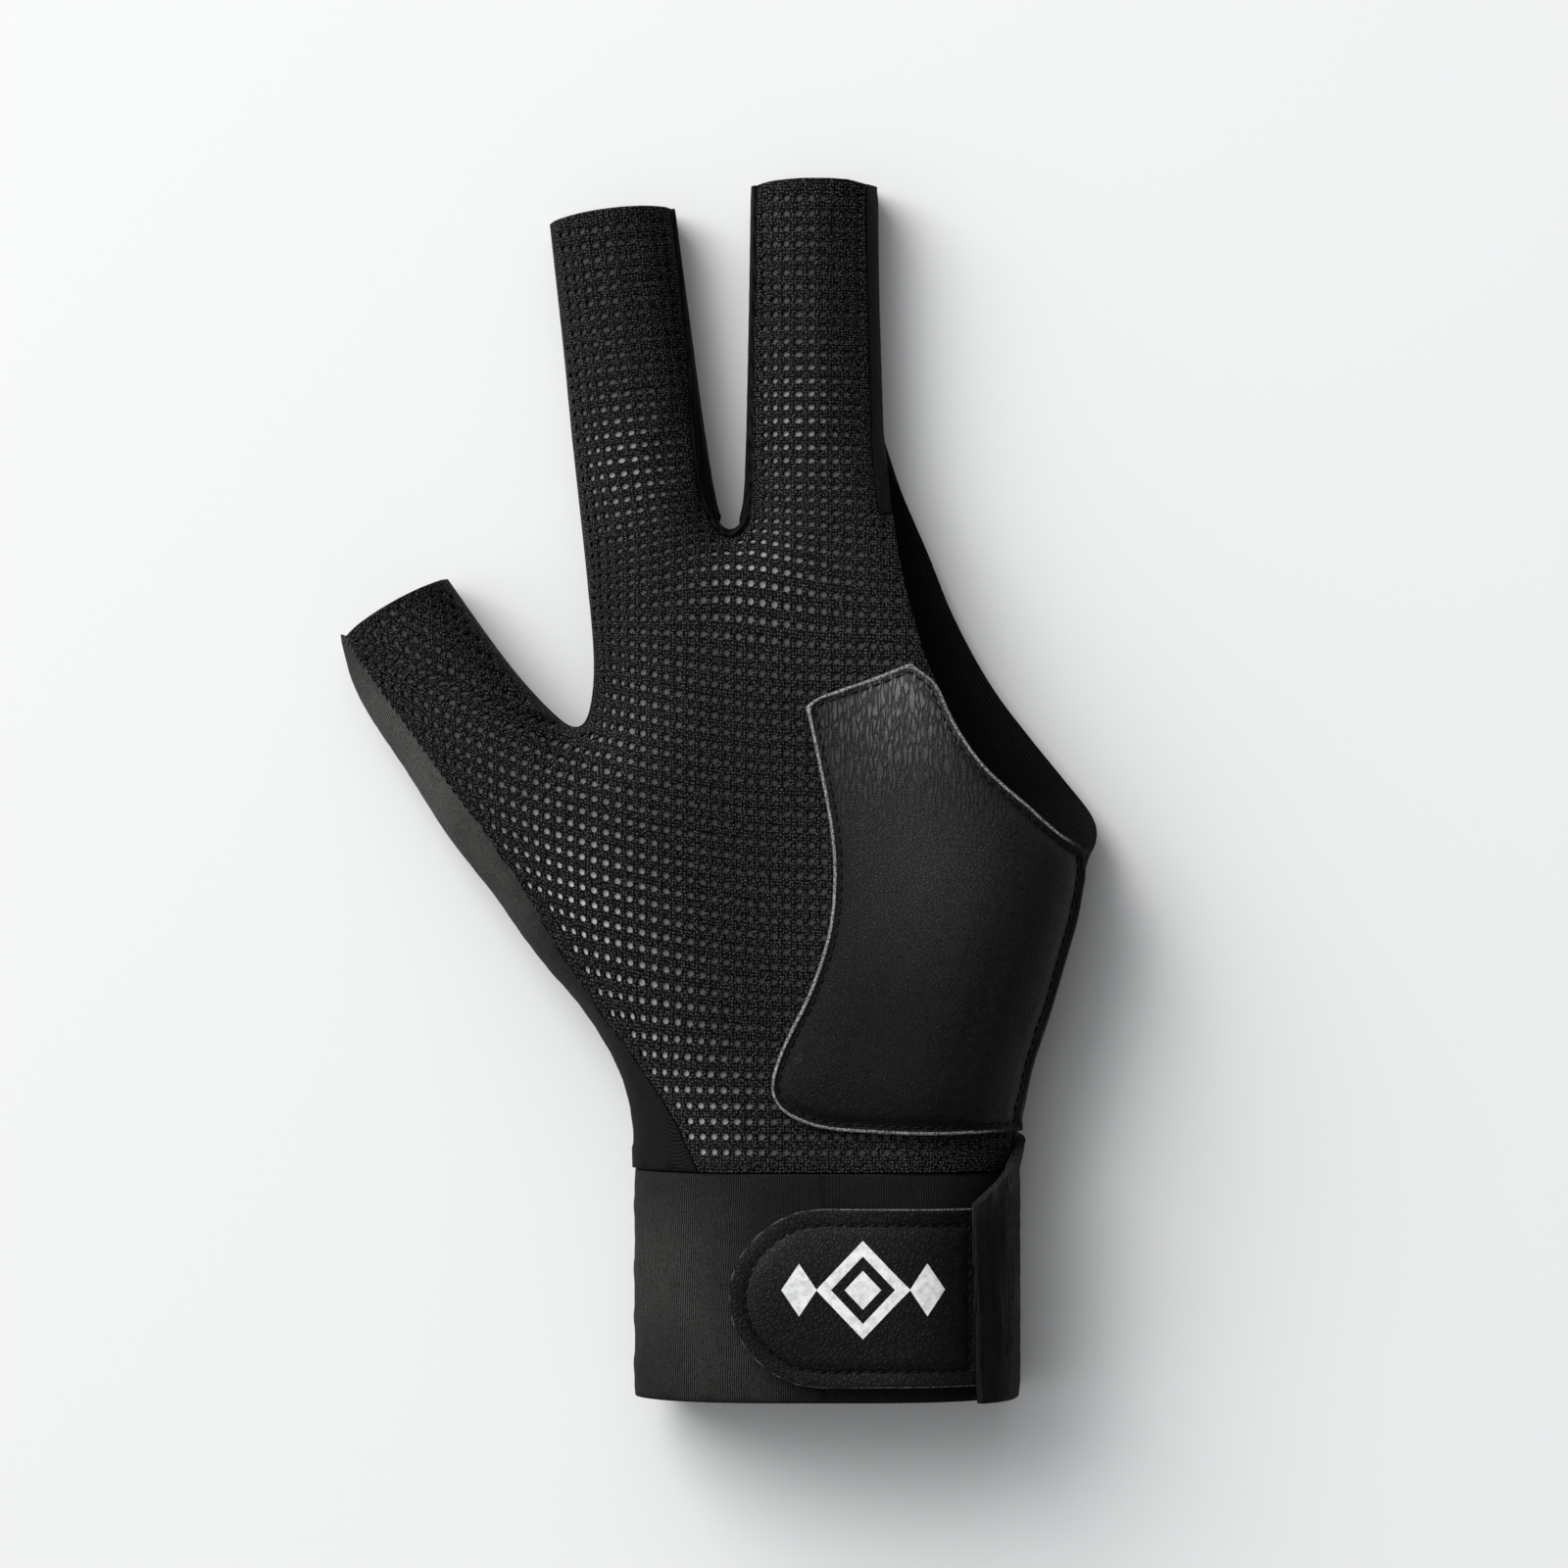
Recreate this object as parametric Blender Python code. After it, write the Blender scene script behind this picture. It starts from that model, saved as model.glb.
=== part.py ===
"""A three-finger billiard glove for the left hand, lying on its back with the palm up.

It covers the thumb, index and middle finger and leaves the ring and little finger free. The palm
side is an openwork mesh, the back is a smooth stretch knit, and the two are sewn together along the
sides. A strip of the knit lines the fork between the two long fingers. A padded leather patch covers
the heel of the hand, and a wrist cuff is drawn tight by a knit wing and a leather tab with a hook pad.

Metres, +Z up and +Y towards the fingers. The origin is on the table, under the middle of the cuff.
Every piece is cut from two surfaces over the plan, one for the palm side and one for the back, and
given its wall along their normals.
"""

import math
from collections import namedtuple

import bpy
import numpy as np
from mathutils.geometry import delaunay_2d_cdt

# Lengths and widths of the glove, seen from the palm side
PALM_LENGTH = 0.114
PALM_BREADTH = 0.088
CUFF_LENGTH = 0.0404
CUFF_WIDTH = 0.0676
THUMB_LENGTH = 0.036
THUMB_WIDTH = 0.021
THUMB_LEAN = math.radians(33)
INDEX_LENGTH = 0.0572
INDEX_WIDTH = 0.0224
INDEX_LEAN = math.radians(7)
MIDDLE_LENGTH = 0.0625
MIDDLE_WIDTH = 0.0228
FORK_GAP = 0.0049
FORK_DEPTH = 0.0042
TIP_BOW = 0.0009

# Depths from the table to the palm side, where the hollow hand shape is fullest
FINGER_DEPTH = 0.0165
THUMB_DEPTH = 0.0175
PALM_DEPTH = 0.029
WRIST_DEPTH = 0.031
SIDE_REACH = 0.022
BACK_EDGE_LIFT = 0.004
BACK_EDGE_CURL = 0.014

# Walls and the gaps between pieces
MESH_WALL = 0.0016
KNIT_WALL = 0.0011
CUFF_WALL = 0.0018
SEAM_GAP = 0.0003
LAYER_GAP = 0.0004

# Strips of the back's knit that show on the palm side
THUMB_STRIP = 0.0054
MIDDLE_STRIP = 0.0024
HEEL_STRIP = 0.001
GUSSET_STRIP = 0.0024
GUSSET_BACK = 0.003

# Heel pad
PAD_LEATHER = 0.0013
PAD_CROWN = 0.0017
PAD_CROWN_REACH = 0.011
PAD_INSET = 0.0004

# Wrist strap
TAB_LENGTH = 0.0425
TAB_WIDTH = 0.0313
TAB_WALL = 0.0018
TAB_CENTRE = -0.0016
HOOK_LENGTH = 0.028
HOOK_WIDTH = 0.023
HOOK_WALL = 0.0012
WING_WALL = 0.0015
WING_SPAN = 0.0088
WING_TUCK = 0.0016
WING_RISE = 0.006

# Share of the depth at which the palm side and the back meet, and the back's rounding
SEAM_LEVEL = 0.42
BACK_REACH = 0.45

# How the side seams pull on the palm side and the back beyond their ends at the opening
SEAM_RUN_ON = 0.02
UPPER_FADE = 0.03
UPPER_HOLD = 0.35
LOWER_FADE = 0.018
LOWER_SPLAY = 0.5

# Facet sizes
EDGE_STEP = 0.0042
GRID_STEP = 0.0055
BACK_GRID_STEP = 0.012
UPPER_RINGS = tuple(math.radians(a) for a in (22.5, 45, 67.5, 90))
LOWER_RINGS = tuple(math.radians(a) for a in (32, 62, 90))
TOUCH = 2e-6

Limb = namedtuple("Limb", "x y lean length width")
Row = namedtuple("Row", "limb across along")


def on_limb(limb, across, along):
    """A point of the plan, at shares of the limb's width and length from its root."""
    sideways = across * limb.width
    forward = along * limb.length
    return np.array(
        [
            limb.x + math.cos(limb.lean) * sideways - math.sin(limb.lean) * forward,
            limb.y + math.sin(limb.lean) * sideways + math.cos(limb.lean) * forward,
        ]
    )


def make_limbs():
    """The frames that the tables below are written in. Fingers are placed by the forks they leave."""
    cuff = Limb(0, CUFF_LENGTH / 2, 0, CUFF_LENGTH, CUFF_WIDTH)
    palm = Limb(0, CUFF_LENGTH / 2, 0, PALM_LENGTH, PALM_BREADTH)
    fork_x, fork_y = on_limb(palm, -0.186, 1)
    fork = Limb(fork_x, fork_y, 0, FORK_DEPTH, FORK_GAP)
    index_x = fork_x - FORK_GAP / 2 - 0.535 * INDEX_WIDTH
    middle_x = fork_x + FORK_GAP / 2 + 0.57 * MIDDLE_WIDTH
    thumb_fork = on_limb(palm, -0.503, 0.689)
    thumb_side = np.array([math.cos(THUMB_LEAN), math.sin(THUMB_LEAN)])
    thumb_x, thumb_y = thumb_fork - 0.715 * THUMB_WIDTH * thumb_side
    return {
        "cuff": cuff,
        "palm": palm,
        "fork": fork,
        "index": Limb(index_x, fork_y, INDEX_LEAN, INDEX_LENGTH, INDEX_WIDTH),
        "middle": Limb(middle_x, fork_y, 0, MIDDLE_LENGTH, MIDDLE_WIDTH),
        "thumb": Limb(thumb_x, thumb_y, THUMB_LEAN, THUMB_LENGTH, THUMB_WIDTH),
    }


LIMBS = make_limbs()

# From the wrist up the ball of the thumb to the outer corner of its tip
LEFT_SIDE = (
    Row("cuff", -0.5, 0),
    Row("palm", -0.388, 0.065),
    Row("palm", -0.407, 0.137),
    Row("palm", -0.461, 0.218),
    Row("palm", -0.553, 0.32),
    Row("palm", -0.634, 0.41),
    Row("palm", -0.736, 0.508),
    Row("thumb", -0.641, 0.049),
    Row("thumb", -0.605, 0.51),
    Row("thumb", -0.58, 0.81),
    Row("thumb", -0.513, 1),
)
# Down the inside of the thumb, round the fork and up the index finger
THUMB_FORK = (
    Row("thumb", 0.5, 0.967),
    Row("thumb", 0.53, 0.553),
    Row("thumb", 0.569, 0.315),
    Row("palm", -0.523, 0.696),
    Row("palm", -0.503, 0.689),
    Row("palm", -0.483, 0.693),
    Row("palm", -0.47, 0.716),
    Row("index", -0.581, -0.439),
    Row("index", -0.56, -0.346),
    Row("index", -0.543, -0.134),
    Row("index", -0.526, 0.352),
    Row("index", -0.511, 0.57),
    Row("index", -0.497, 0.99),
)
# Down the inside of the index finger, round the fork and up the middle finger
FINGER_FORK = (
    Row("index", 0.499, 0.99),
    Row("index", 0.51, 0.638),
    Row("index", 0.523, 0.283),
    Row("fork", -0.5, 1),
    Row("fork", -0.25, 0.25),
    Row("fork", 0, 0),
    Row("fork", 0.28, 0.15),
    Row("fork", 0.5, 1),
    Row("middle", -0.546, 0.21),
    Row("middle", -0.531, 0.423),
    Row("middle", -0.519, 0.639),
    Row("middle", -0.504, 0.985),
)
# The closed seam down the far side of the middle finger
MIDDLE_SIDE = (
    Row("middle", 0.494, 0.985),
    Row("middle", 0.5, 0.709),
    Row("middle", 0.523, 0.423),
    Row("middle", 0.538, 0.252),
)
# The free edge of the back below the ring and little finger
BACK_EDGE = (
    Row("middle", 0.538, 0.252),
    Row("middle", 0.685, 0.098),
    Row("middle", 0.877, -0.064),
    Row("palm", 0.268, 0.866),
    Row("palm", 0.348, 0.753),
    Row("palm", 0.422, 0.677),
    Row("palm", 0.501, 0.602),
    Row("palm", 0.549, 0.556),
    Row("palm", 0.563, 0.532),
    Row("palm", 0.559, 0.508),
    Row("palm", 0.546, 0.49),
)
# The free edge of the palm side above it
PALM_EDGE = (
    Row("middle", 0.538, 0.252),
    Row("middle", 0.592, 0.039),
    Row("middle", 0.66, -0.123),
    Row("middle", 0.754, -0.26),
    Row("middle", 0.854, -0.38),
    Row("palm", 0.233, 0.753),
    Row("palm", 0.274, 0.688),
    Row("palm", 0.33, 0.627),
    Row("palm", 0.41, 0.57),
    Row("palm", 0.469, 0.53),
    Row("palm", 0.52, 0.506),
)
# The closed seam down the heel of the hand to the wrist
HEEL_SIDE = (
    Row("palm", 0.546, 0.49),
    Row("palm", 0.533, 0.453),
    Row("palm", 0.521, 0.398),
    Row("palm", 0.494, 0.324),
    Row("palm", 0.459, 0.233),
    Row("palm", 0.43, 0.166),
    Row("palm", 0.414, 0.111),
    Row("palm", 0.398, 0.049),
    Row("cuff", 0.5, 0),
)
# The heel pad's upper edge, its edge towards the thumb and its lower edge
PAD_EDGE = (
    Row("palm", 0.176, 0.787),
    Row("palm", 0.09, 0.762),
    Row("palm", -0.02, 0.73),
    Row("palm", -0.033, 0.719),
    Row("palm", -0.026, 0.694),
    Row("palm", -0.006, 0.621),
    Row("palm", 0.012, 0.551),
    Row("palm", 0.022, 0.488),
    Row("palm", 0.022, 0.435),
    Row("palm", 0.012, 0.372),
    Row("palm", -0.026, 0.283),
    Row("palm", -0.081, 0.197),
    Row("palm", -0.101, 0.155),
    Row("palm", -0.105, 0.123),
    Row("palm", -0.087, 0.097),
    Row("palm", -0.012, 0.069),
    Row("palm", 0.09, 0.061),
    Row("palm", 0.2, 0.058),
    Row("palm", 0.32, 0.061),
    Row("palm", 0.39, 0.064),
)

# How full the glove is over the plan: the depth as a share of the named one, and how far the
# rounding of its sides reaches in, as a share of the limb's width
Fullness = namedtuple("Fullness", "limb across along depth_of depth reach")
DEPTHS = {"finger": FINGER_DEPTH, "thumb": THUMB_DEPTH, "palm": PALM_DEPTH, "wrist": WRIST_DEPTH}
FULLNESS = (
    Fullness("thumb", 0, 1.05, "thumb", 0.97, 0.4),
    Fullness("thumb", 0, 0.5, "thumb", 1.05, 0.42),
    Fullness("thumb", 0, 0, "palm", 0.78, 0.66),
    Fullness("index", 0, 1.05, "finger", 0.96, 0.4),
    Fullness("index", 0, 0.6, "finger", 1, 0.4),
    Fullness("index", 0, 0.2, "finger", 1.08, 0.42),
    Fullness("middle", 0, 1.05, "finger", 0.97, 0.4),
    Fullness("middle", 0, 0.65, "finger", 1.02, 0.4),
    Fullness("middle", 0, 0.25, "finger", 1.1, 0.43),
    Fullness("palm", -0.186, 0.96, "palm", 0.7, 0.11),
    Fullness("palm", -0.5, 0.65, "palm", 0.8, 0.13),
    Fullness("palm", -0.33, 0.88, "palm", 0.82, 0.2),
    Fullness("palm", -0.02, 0.9, "palm", 0.82, 0.2),
    Fullness("palm", -0.27, 0.68, "palm", 0.86, 0.23),
    Fullness("palm", 0.02, 0.68, "palm", 0.88, 0.25),
    Fullness("palm", -0.44, 0.5, "palm", 1.03, 0.25),
    Fullness("palm", -0.12, 0.48, "palm", 0.86, 0.25),
    Fullness("palm", 0.25, 0.45, "palm", 1.0, 0.25),
    Fullness("palm", -0.3, 0.27, "palm", 1.04, 0.25),
    Fullness("palm", 0.02, 0.25, "palm", 0.92, 0.25),
    Fullness("palm", 0.25, 0.2, "palm", 1.03, 0.25),
    Fullness("palm", -0.2, 0.03, "wrist", 0.97, 0.25),
    Fullness("palm", 0.2, 0.03, "wrist", 0.98, 0.25),
    Fullness("cuff", -0.25, -0.9, "wrist", 1.0, 0.31),
    Fullness("cuff", 0.25, -0.9, "wrist", 1.0, 0.31),
)
FULLNESS_SPREAD = 0.013

# Width of the knit strip beside the thumb, from the wrist seam to the tip
StripWidth = namedtuple("StripWidth", "along width")
THUMB_STRIP_WIDTHS = (
    StripWidth(0, 2.2),
    StripWidth(0.07, 1.55),
    StripWidth(0.14, 0.88),
    StripWidth(0.24, 0.5),
    StripWidth(0.37, 0.56),
    StripWidth(0.48, 0.74),
    StripWidth(0.61, 1),
    StripWidth(0.72, 0.8),
    StripWidth(0.85, 0.52),
    StripWidth(0.94, 0.32),
    StripWidth(1, 0.1),
)
# Width of the gusset on the palm side, from the index tip round the fork to the middle tip
GUSSET_WIDTHS = (
    StripWidth(0, 0.15),
    StripWidth(0.2, 0.3),
    StripWidth(0.32, 0.85),
    StripWidth(0.42, 1),
    StripWidth(0.49, 0.6),
    StripWidth(0.6, 0.3),
    StripWidth(1, 0.35),
)


def rows_to_points(rows):
    return np.array([on_limb(LIMBS[row.limb], row.across, row.along) for row in rows])


def curve_through(points, step=EDGE_STEP):
    """A centripetal Catmull-Rom curve through the points, cut into chords of about one step."""
    ends = np.vstack([2 * points[0] - points[1], points, 2 * points[-1] - points[-2]])
    curve = [points[0]]
    for before, start, stop, after in zip(ends, ends[1:], ends[2:], ends[3:]):
        spans = [math.sqrt(math.dist(p, q)) for p, q in ((before, start), (start, stop), (stop, after))]
        knots = np.cumsum([0, *spans])
        count = max(1, round(math.dist(start, stop) / step))
        for t in np.linspace(knots[1], knots[2], count + 1)[1:]:
            level = [before, start, stop, after]
            for width in (1, 2, 3):
                level = [blend(level, knots, i, width, t) for i in range(4 - width)]
            curve.append(level[0])
    return np.array(curve)


def blend(level, knots, i, width, t):
    """One step of the Barry-Goldman pyramid that evaluates a Catmull-Rom span at t."""
    low, high = (knots[1], knots[2]) if width == 3 else (knots[i], knots[i + width])
    return level[i] * (high - t) / (high - low) + level[i + 1] * (t - low) / (high - low)


def inward_normals(curve):
    """Unit normals to the right of the way a side runs, which is the way to the inside."""
    tangents = np.gradient(curve, axis=0)
    normals = np.column_stack([tangents[:, 1], -tangents[:, 0]])
    return normals / np.linalg.norm(normals, axis=1)[:, None]


def moved_inside(curve, widths, first_way=None, last_way=None):
    """The curve moved inside by a width at each point. Its ends slide along the given ways."""
    ways = inward_normals(curve)
    if first_way is not None:
        ways[0] = first_way / np.linalg.norm(first_way)
    if last_way is not None:
        ways[-1] = last_way / np.linalg.norm(last_way)
    return curve + ways * np.reshape(widths, (-1, 1))


def strip_widths(curve, table, full_width):
    """The table's widths at each point of a curve, by its length."""
    lengths = np.concatenate([[0], np.cumsum(np.linalg.norm(np.diff(curve, axis=0), axis=1))])
    shares = np.interp(lengths / lengths[-1], [row.along for row in table], [row.width for row in table])
    return full_width * shares


def seam_distance(points, seams):
    """A smooth distance to the seams: true beside one of them, rounded off where several are near.

    Each seam is a curve and the strength of each of its chords, which is below 1 where it fades out.
    """
    pull = np.zeros(len(points))
    for curve, strengths in seams:
        to_start = curve[None, :-1] - points[:, None]
        to_end = curve[None, 1:] - points[:, None]
        near, far = np.linalg.norm(to_start, axis=2), np.linalg.norm(to_end, axis=2)
        spans = np.linalg.norm(np.diff(curve, axis=0), axis=1)
        room = near * far * (near * far + (to_start * to_end).sum(2))
        pull += (strengths * spans * (near + far) / np.maximum(room, TOUCH**4)).sum(1)
    return np.sqrt(2 / pull)


def slope_of(field, points):
    """How a field over the plan changes along X and Y."""
    steps = np.eye(2) * SEAM_GAP / 10
    return np.column_stack([(field(points + s) - field(points - s)) / (2 * s.sum()) for s in steps])


def seam_frame(points, seams):
    """The smooth distance to the seams and how it changes over the plan."""
    distance = seam_distance(points, seams)
    way = slope_of(lambda p: seam_distance(p, seams), points)
    for curve, _ in seams:
        gaps, normals = nearest_on(points, curve)
        near = gaps < SEAM_GAP
        way[near] = normals[near]
        distance[gaps < TOUCH] = 0
    return distance, way


def nearest_on(points, curve):
    """How far each point lies from a curve, and the curve's inward normal at the nearest place."""
    normals = inward_normals(curve)
    spans = np.diff(curve, axis=0)[None]
    offsets = points[:, None] - curve[None, :-1]
    shares = np.clip((offsets * spans).sum(2) / (spans**2).sum(2), 0, 1)
    gaps = np.linalg.norm(offsets - shares[..., None] * spans, axis=2)
    nearest = gaps.argmin(1)
    rows = np.arange(len(points))
    share = shares[rows, nearest][:, None]
    return gaps[rows, nearest], unit(normals[nearest] * (1 - share) + normals[nearest + 1] * share)


def fullness_at(points):
    """Depth and reach of the rounding at each point, smoothed between the table's places."""
    places = rows_to_points(FULLNESS)
    depths = np.array([DEPTHS[row.depth_of] * row.depth for row in FULLNESS])
    scale = {"palm": SIDE_REACH / 0.25, "cuff": SIDE_REACH / 0.31}
    reaches = np.array([row.reach * scale.get(row.limb, LIMBS[row.limb].width) for row in FULLNESS])
    squares = ((points[:, None] - places[None]) ** 2).sum(2)
    squares -= squares.min(1)[:, None]
    weights = np.exp(-squares / (2 * FULLNESS_SPREAD**2))
    weights /= weights.sum(1)[:, None]
    return weights @ depths, weights @ reaches


def depth_at(points):
    return fullness_at(points)[0]


def upper_surface(points):
    """Points and outward normals of the palm side over the plan."""
    distance, way = seam_frame(points, UPPER_SEAMS)
    depth, reach = fullness_at(points)
    cosine = np.clip(1 - distance / reach, 0, 1)
    sine = np.sqrt(1 - cosine**2)
    share = SEAM_LEVEL + (1 - SEAM_LEVEL) * sine
    run = (reach * sine)[:, None]
    climb = (depth * (1 - SEAM_LEVEL) * cosine)[:, None] * way
    climb += run * share[:, None] * slope_of(depth_at, points)
    return np.column_stack([points, depth * share]), unit(np.column_stack([-climb, run]))


def lower_surface(points):
    """Points and outward normals of the back over the plan. Away from the seams it lies on the table."""
    distance, way = seam_frame(points, LOWER_SEAMS)
    depth, reach = fullness_at(points)
    reach = BACK_REACH * reach
    cosine = np.clip(1 - distance / reach, 0, 1)
    sine = np.sqrt(1 - cosine**2)
    share = SEAM_LEVEL * (1 - sine)
    run = (reach * sine)[:, None]
    drop = (depth * SEAM_LEVEL * cosine)[:, None] * way
    climb = share[:, None] * slope_of(depth_at, points)
    climb += BACK_EDGE_LIFT * sine[:, None] * slope_of(edge_curl, points)
    heights = depth * share + BACK_EDGE_LIFT * sine * edge_curl(points)
    return np.column_stack([points, heights]), unit(np.column_stack([run * climb - drop, -run]))


def edge_curl(points):
    """How far the back's free edge has curled up, as a share: 1 at the edge, 0 further in."""
    gaps, _ = nearest_on(points, CURVES["back_edge"])
    share = np.clip(1 - gaps / BACK_EDGE_CURL, 0, 1)
    return share**2 * (3 - 2 * share)


def unit(vectors):
    return vectors / np.linalg.norm(vectors, axis=1)[:, None]


def across(start, stop, rings, bow=0.0, step=GRID_STEP):
    """A line from seam to seam, with points where the rounding of the sides needs them."""
    length = math.dist(start, stop)
    reach = fullness_at(np.array([start, stop]))[1]
    if rings is LOWER_RINGS:
        reach = reach * BACK_REACH
    near = [reach[0] * (1 - math.cos(a)) for a in rings]
    far = [length - reach[1] * (1 - math.cos(a)) for a in rings]
    places = [p for p in near if p < length / 2] + [p for p in far if p > length / 2]
    inner = (near[-1], far[-1]) if near[-1] < far[-1] else (length / 2, length / 2)
    count = int((inner[1] - inner[0]) / step)
    places += list(np.linspace(inner[0], inner[1], count + 2)[1:-1])
    kept = [0.0]
    for place in sorted(places):
        if place - kept[-1] > min(step / 4, kept[-1] / 2 + SEAM_GAP) and length - place > SEAM_GAP:
            kept.append(place)
    shares = np.array([*kept, length]) / length
    forward = np.array([-(stop - start)[1], (stop - start)[0]]) / length
    return start + shares[:, None] * (stop - start) + (4 * bow * shares * (1 - shares))[:, None] * forward


def make_curves():
    """Every seam and edge of the plan, each running so that the glove lies to its right."""
    curves = {
        "left": curve_through(rows_to_points(LEFT_SIDE)),
        "thumb_fork": curve_through(rows_to_points(THUMB_FORK)),
        "finger_fork": curve_through(rows_to_points(FINGER_FORK)),
        "middle": curve_through(rows_to_points(MIDDLE_SIDE)),
        "back_edge": curve_through(rows_to_points(BACK_EDGE)),
        "palm_edge": curve_through(rows_to_points(PALM_EDGE)),
        "heel": curve_through(rows_to_points(HEEL_SIDE)),
    }
    seam_y, hem_y = CUFF_LENGTH / 2, -CUFF_LENGTH / 2
    steps = max(2, round(CUFF_LENGTH / EDGE_STEP))
    rise = np.linspace(hem_y, seam_y - SEAM_GAP, steps + 1)
    curves["cuff_left"] = np.column_stack([np.full(len(rise), -CUFF_WIDTH / 2), rise])
    curves["cuff_right"] = np.column_stack([np.full(len(rise), CUFF_WIDTH / 2), rise])[::-1]
    return curves


def closed_seams():
    """The side seams, each run on in a straight line beyond the open end of a finger or the cuff."""
    seams = []
    for names, first, last in (
        (("cuff_left", "left"), True, True),
        (("thumb_fork",), True, True),
        (("finger_fork",), True, True),
        (("middle",), True, False),
        (("heel", "cuff_right"), False, True),
    ):
        curve = joined(*[CURVES[name] for name in names])
        before = curve[0] + SEAM_RUN_ON * (curve[0] - curve[1]) / math.dist(curve[0], curve[1])
        after = curve[-1] + SEAM_RUN_ON * (curve[-1] - curve[-2]) / math.dist(curve[-1], curve[-2])
        curve = np.vstack([before[None]] * first + [curve] + [after[None]] * last)
        seams.append((curve, np.ones(len(curve) - 1)))
    return seams


def fading_seams(splay, fade, hold):
    """The pull of the side seams beyond their ends at the opening for the ring and little finger.

    It follows the back's free edge, splayed outwards, and fades over a length to a held strength.
    """
    edge = CURVES["back_edge"]
    lengths = np.concatenate([[0], np.cumsum(np.linalg.norm(np.diff(edge, axis=0), axis=1))])
    from_end = np.minimum(lengths, lengths[-1] - lengths)
    curve = moved_inside(edge, -splay * np.minimum(from_end, fade))
    middles = (from_end[1:] + from_end[:-1]) / 2
    return [(curve, np.clip(1 - middles / fade, hold, 1))]


def joined(*curves):
    """Curves laid end to end, without the points that repeat."""
    points = np.vstack(curves)
    kept = [0]
    for i in range(1, len(points)):
        if math.dist(points[i], points[kept[-1]]) > 5 * TOUCH:
            kept.append(i)
    return points[kept]


def loop(*curves):
    """Curves laid end to end into a closed outline."""
    points = joined(*curves)
    return points[:-1] if math.dist(points[0], points[-1]) < 5 * TOUCH else points


def inside(points, outline):
    """Whether each point lies inside a closed outline, by counting crossings."""
    x, y = points[:, :1], points[:, 1:]
    ax, ay = outline.T
    bx, by = np.roll(outline, -1, axis=0).T
    crosses = (ay > y) != (by > y)
    rise = np.where(by == ay, 1, by - ay)
    return (crosses & (x < (bx - ax) * (y - ay) / rise + ax)).sum(1) % 2 == 1


def closed(outline):
    """A closed outline as a curve that ends where it starts."""
    return np.vstack([outline, outline[:1]])


def side_distance(points):
    """How far each point lies from the nearest closed side seam."""
    return np.min([nearest_on(points, curve)[0] for curve, _ in CLOSED_SEAMS], axis=0)


def surface_places(rings, reach_share, grid_step):
    """Places in the plan that carry the rounding of the sides and the mounds between them."""
    candidates = []
    for name in ("cuff_left", "left", "thumb_fork", "finger_fork", "middle", "heel", "cuff_right"):
        curve = CURVES[name]
        reach = fullness_at(curve)[1] * reach_share
        candidates += [
            moved_inside(curve, reach * (1 - math.cos(angle))) for angle in rings
        ]
    outer = np.vstack([CURVES["left"], CURVES["finger_fork"], CURVES["back_edge"], CURVES["cuff_right"]])
    low, high = outer.min(0), outer.max(0)
    columns = np.arange(low[0], high[0] + grid_step, grid_step)
    for i, y in enumerate(np.arange(low[1], high[1], grid_step * math.sqrt(3) / 2)):
        shift = grid_step / 2 * (i % 2)
        candidates.append(np.column_stack([columns + shift, np.full(len(columns), y)]))
    kept = []
    for places in candidates:
        room = np.clip(side_distance(places) * 0.62, 0, grid_step * 0.62)
        for place, space in zip(places, room):
            if space > SEAM_GAP and all(math.dist(place, other) > space for other in kept):
                kept.append(place)
    return np.array(kept)


def fill(outline, places, scored=()):
    """Triangles of the plan inside a closed outline. Scored lines become edges too."""
    lines = [closed(outline), *scored]
    gaps = np.min([nearest_on(places, line)[0] for line in lines], axis=0)
    clear = gaps > np.clip(side_distance(places) * 0.4, SEAM_GAP, EDGE_STEP * 0.4)
    inner = places[inside(places, outline) & clear]
    points, edges = [], []
    for line in lines:
        edges += [(len(points) + i, len(points) + i + 1) for i in range(len(line) - 1)]
        points += list(line)
    points += list(inner)
    found, _, faces, *_ = delaunay_2d_cdt([tuple(p) for p in points], edges, [], 0, TOUCH / 2)
    found = np.array([tuple(p) for p in found])
    faces = np.array(faces)
    faces = faces[inside(found[faces].mean(1), outline)]
    ab = found[faces[:, 1]] - found[faces[:, 0]]
    ac = found[faces[:, 2]] - found[faces[:, 0]]
    area = ab[:, 0] * ac[:, 1] - ab[:, 1] * ac[:, 0]
    faces[area < 0] = faces[area < 0][:, ::-1]
    return found, faces[np.abs(area) > TOUCH**2]


def cloth(uppers, lowers=(), scored=(), seam_shift=0.0):
    """A sheet of cloth from outlines on the palm side and on the back, as points, normals and faces."""
    points, normals, faces = [], [], []
    for outlines, surface, places, turned in (
        (uppers, upper_surface, UPPER_PLACES, False),
        (lowers, lower_surface, LOWER_PLACES, True),
    ):
        for outline in outlines:
            plan, triangles = fill(outline, places, () if turned else scored)
            on_surface, outward = surface(plan)
            on_fork = nearest_on(plan, CURVES["thumb_fork"])[0] < TOUCH
            on_surface[on_fork, 2] += seam_shift
            faces.append((triangles[:, ::-1] if turned else triangles) + sum(map(len, points)))
            points.append(on_surface)
            normals.append(outward)
    return welded(np.vstack(points), np.vstack(normals), np.vstack(faces))


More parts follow.
